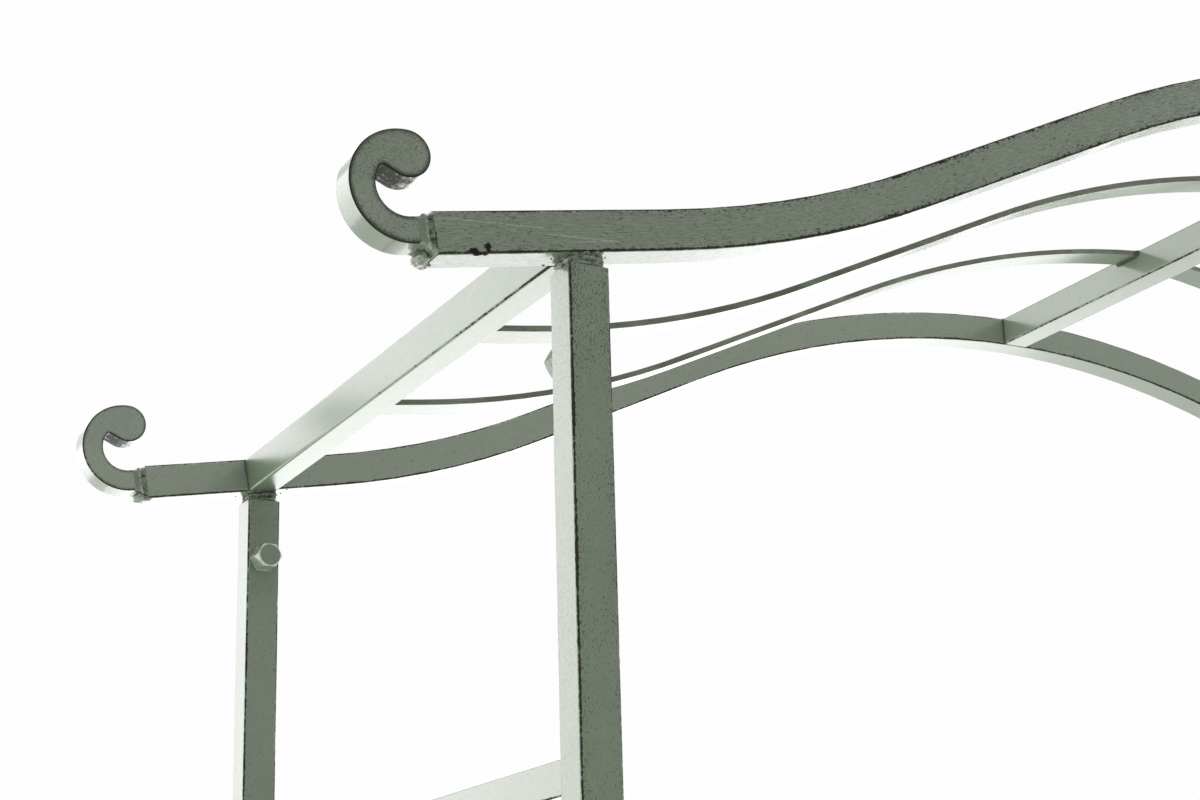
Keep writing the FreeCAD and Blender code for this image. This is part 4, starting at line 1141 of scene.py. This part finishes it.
class ARCH_OT_weld_sides(ArchOperator, bpy.types.Operator):
    """Run beads round the rungs, the nuts and the posts' feet"""

    bl_idname = "arch.weld_sides"
    bl_label = "Weld Side Frames"

    def execute(self, context):
        welds = context.scene.arch_welds
        material = weld_finish("weld_side_frame", context.scene.arch_paint)
        rung = across("left_rung_1")
        rung_outline = rounded_outline(rung, rung, RUNG_CORNER, per_corner=3, per_side=12)
        post_outline = rounded_outline(TUBE, TUBE, TUBE_CORNER, per_corner=4, per_side=14)
        rung_legs = (welds.bead * 0.4, welds.bead * 0.85, welds.bead * 0.85)
        for side in SIDE_FRAMES:
            mesh = bmesh.new()
            for number, name in enumerate(RUNGS):
                if not name.startswith(side):
                    continue
                for y, place in bar_ends(name, ALONG_Z):
                    bead_round(mesh, rung_outline, place, rung_legs, welds.ripple, 31.0 * number + y)
            for corner in CORNERS:
                if corner.endswith(side):
                    self.corner_beads(mesh, welds, corner, post_outline)
            weld_object(side + "_frame_weld_beads", mesh, side + "_side", material)
        return {"FINISHED"}

    def corner_beads(self, mesh, welds, corner, post_outline):
        """Beads round a post's foot and round the nut on its inner face."""
        post = middle(corner + "_post")
        plate_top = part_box(corner + "_foot")[1].z
        foot_place = Matrix.Translation((post.x, post.y, plate_top))
        seed = post.x * 50 + post.y * 30
        bead_round(mesh, post_outline, foot_place, (welds.bead,) * 3, welds.ripple, seed)
        bolt = middle(corner + "_bolt")
        low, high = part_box(corner + "_post")
        inner = high.y if end_of(corner) < 0 else low.y
        nut_place = facing_place(Vector((post.x, inner, bolt.z)), -end_of(corner) * ALONG_Y, ALONG_Z)
        nut_outline = hexagon_outline(across("left_nuts", 2), per_side=6)
        bead_round(mesh, nut_outline, nut_place, (welds.nut_bead,) * 3, welds.ripple * 0.6, post.y * 40)


# Operators: stage

class ARCH_OT_build_stage(ArchOperator, bpy.types.Operator):
    """Set up the floor, the soft lamps, the white background and the camera"""

    bl_idname = "arch.build_stage"
    bl_label = "Build Stage"

    def execute(self, context):
        stage = context.scene.arch_stage
        self.floor(stage)
        self.background(context.scene, stage)
        for name, (place, target, size, setting) in LAMPS.items():
            self.lamp(name, place, target, size, getattr(stage, setting))
        self.camera(context.scene, stage)
        context.scene.view_settings.view_transform = "Standard"
        return {"FINISHED"}

    def floor(self, stage):
        mesh = bmesh.new()
        bmesh.ops.create_grid(
            mesh, x_segments=FLOOR_CELLS, y_segments=FLOOR_CELLS, size=stage.floor_size / 2)
        data = bpy.data.meshes.new("floor")
        mesh.to_mesh(data)
        mesh.free()
        finish = Finish("pale_floor")
        cloudy = finish.noise(finish.place, FLOOR_SCALE)
        darker = [each * FLOOR_SHADE for each in stage.floor_colour]
        colour = finish.mix(cloudy, darker, stage.floor_colour)
        finish.surface(Base_Color=colour, Roughness=0.8, Specular_IOR_Level=0.2)
        self.fade_to_white(finish, stage)
        data.materials.append(finish.material)
        floor = bpy.data.objects.new("floor", data)
        floor.visible_shadow = False
        bpy.context.scene.collection.objects.link(floor)

    def fade_to_white(self, finish, stage):
        """Lets the floor run into the white background, as the eye sees it, away from the arch."""
        white = finish.add("Emission", {"Color": [stage.white] * 3})[0]
        far = finish.step(finish.length(finish.place), stage.floor_near, stage.floor_far)
        shown = finish.times(far, finish.seen())
        faded = finish.blend(shown, finish.shader.outputs[0], white)
        finish.feed(finish.nodes["Material Output"].inputs["Surface"], faded)

    def background(self, scene, stage):
        """White to the eye and in reflections, an even fill on the object."""
        scene.world = bpy.data.worlds.new("studio")
        scene.world.use_nodes = True
        studio = Nodes(scene.world.node_tree)
        white = studio.nodes["Background"]
        studio.feed(white.inputs["Color"], [stage.white] * 3)
        fill = studio.add("Background", {"Strength": stage.fill})[0]
        shown = studio.blend(studio.seen(), fill, white.outputs[0])
        studio.feed(studio.nodes["World Output"].inputs["Surface"], shown)

    def lamp(self, name, place, target, size, power):
        data = bpy.data.lights.new(name, "AREA")
        data.shape = "RECTANGLE"
        data.size, data.size_y = size
        data.energy = power
        lamp = bpy.data.objects.new(name, data)
        lamp.location = place
        lamp.rotation_euler = (Vector(target) - Vector(place)).to_track_quat("-Z", "Y").to_euler()
        lamp.visible_camera = False
        bpy.context.scene.collection.objects.link(lamp)

    def camera(self, scene, stage):
        data = bpy.data.cameras.new("photo_camera")
        data.sensor_fit = "HORIZONTAL"
        data.sensor_width = FILM_WIDTH
        data.lens = stage.lens
        data.shift_x, data.shift_y = stage.shift
        turn, tip, roll = stage.camera_turn, stage.camera_tip, stage.camera_roll
        ahead = Vector((math.sin(turn) * math.cos(tip), math.cos(turn) * math.cos(tip), math.sin(tip)))
        level = Vector((math.cos(turn), -math.sin(turn), 0))
        upright = level.cross(ahead)
        right = math.cos(roll) * level + math.sin(roll) * upright
        up = math.cos(roll) * upright - math.sin(roll) * level
        camera = bpy.data.objects.new("photo_camera", data)
        camera.matrix_world = frame_at(stage.camera_place, right, up, -ahead)
        scene.collection.objects.link(camera)
        scene.camera = camera


# Panel and registration

OPERATORS = (
    ARCH_OT_paint_posts, ARCH_OT_paint_rails, ARCH_OT_paint_bars, ARCH_OT_paint_scrolls,
    ARCH_OT_paint_slats, ARCH_OT_paint_fasteners, ARCH_OT_weld_scrolls, ARCH_OT_weld_spigots,
    ARCH_OT_weld_canopy, ARCH_OT_weld_sides, ARCH_OT_build_stage,
)
SETTINGS = (("arch_paint", ArchPaint), ("arch_shape", ArchShape), ("arch_welds", ArchWelds),
            ("arch_stage", ArchStage))


class ARCH_PT_looks(bpy.types.Panel):
    """Lists the steps that dress the arch, with their settings"""

    bl_idname = "ARCH_PT_looks"
    bl_label = "Garden Arch"
    bl_space_type = "VIEW_3D"
    bl_region_type = "UI"
    bl_category = "Arch"

    def draw(self, context):
        for operator in OPERATORS:
            self.layout.operator(operator.bl_idname)
        for name, group in SETTINGS:
            box = self.layout.box()
            for key in group.__annotations__:
                box.prop(getattr(context.scene, name), key)


def register():
    for name, group in SETTINGS:
        bpy.utils.register_class(group)
        setattr(bpy.types.Scene, name, PointerProperty(type=group))
    for operator in OPERATORS:
        bpy.utils.register_class(operator)
    bpy.utils.register_class(ARCH_PT_looks)


def unregister():
    bpy.utils.unregister_class(ARCH_PT_looks)
    for operator in reversed(OPERATORS):
        bpy.utils.unregister_class(operator)
    for name, group in reversed(SETTINGS):
        delattr(bpy.types.Scene, name)
        bpy.utils.unregister_class(group)


def main():
    """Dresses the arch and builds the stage."""
    register()
    bpy.ops.arch.paint_posts()
    bpy.ops.arch.paint_rails()
    bpy.ops.arch.paint_bars()
    bpy.ops.arch.paint_scrolls()
    bpy.ops.arch.paint_slats()
    bpy.ops.arch.paint_fasteners()
    bpy.ops.arch.weld_scrolls()
    bpy.ops.arch.weld_spigots()
    bpy.ops.arch.weld_canopy()
    bpy.ops.arch.weld_sides()
    bpy.ops.arch.build_stage()


if __name__ == "__main__":
    main()
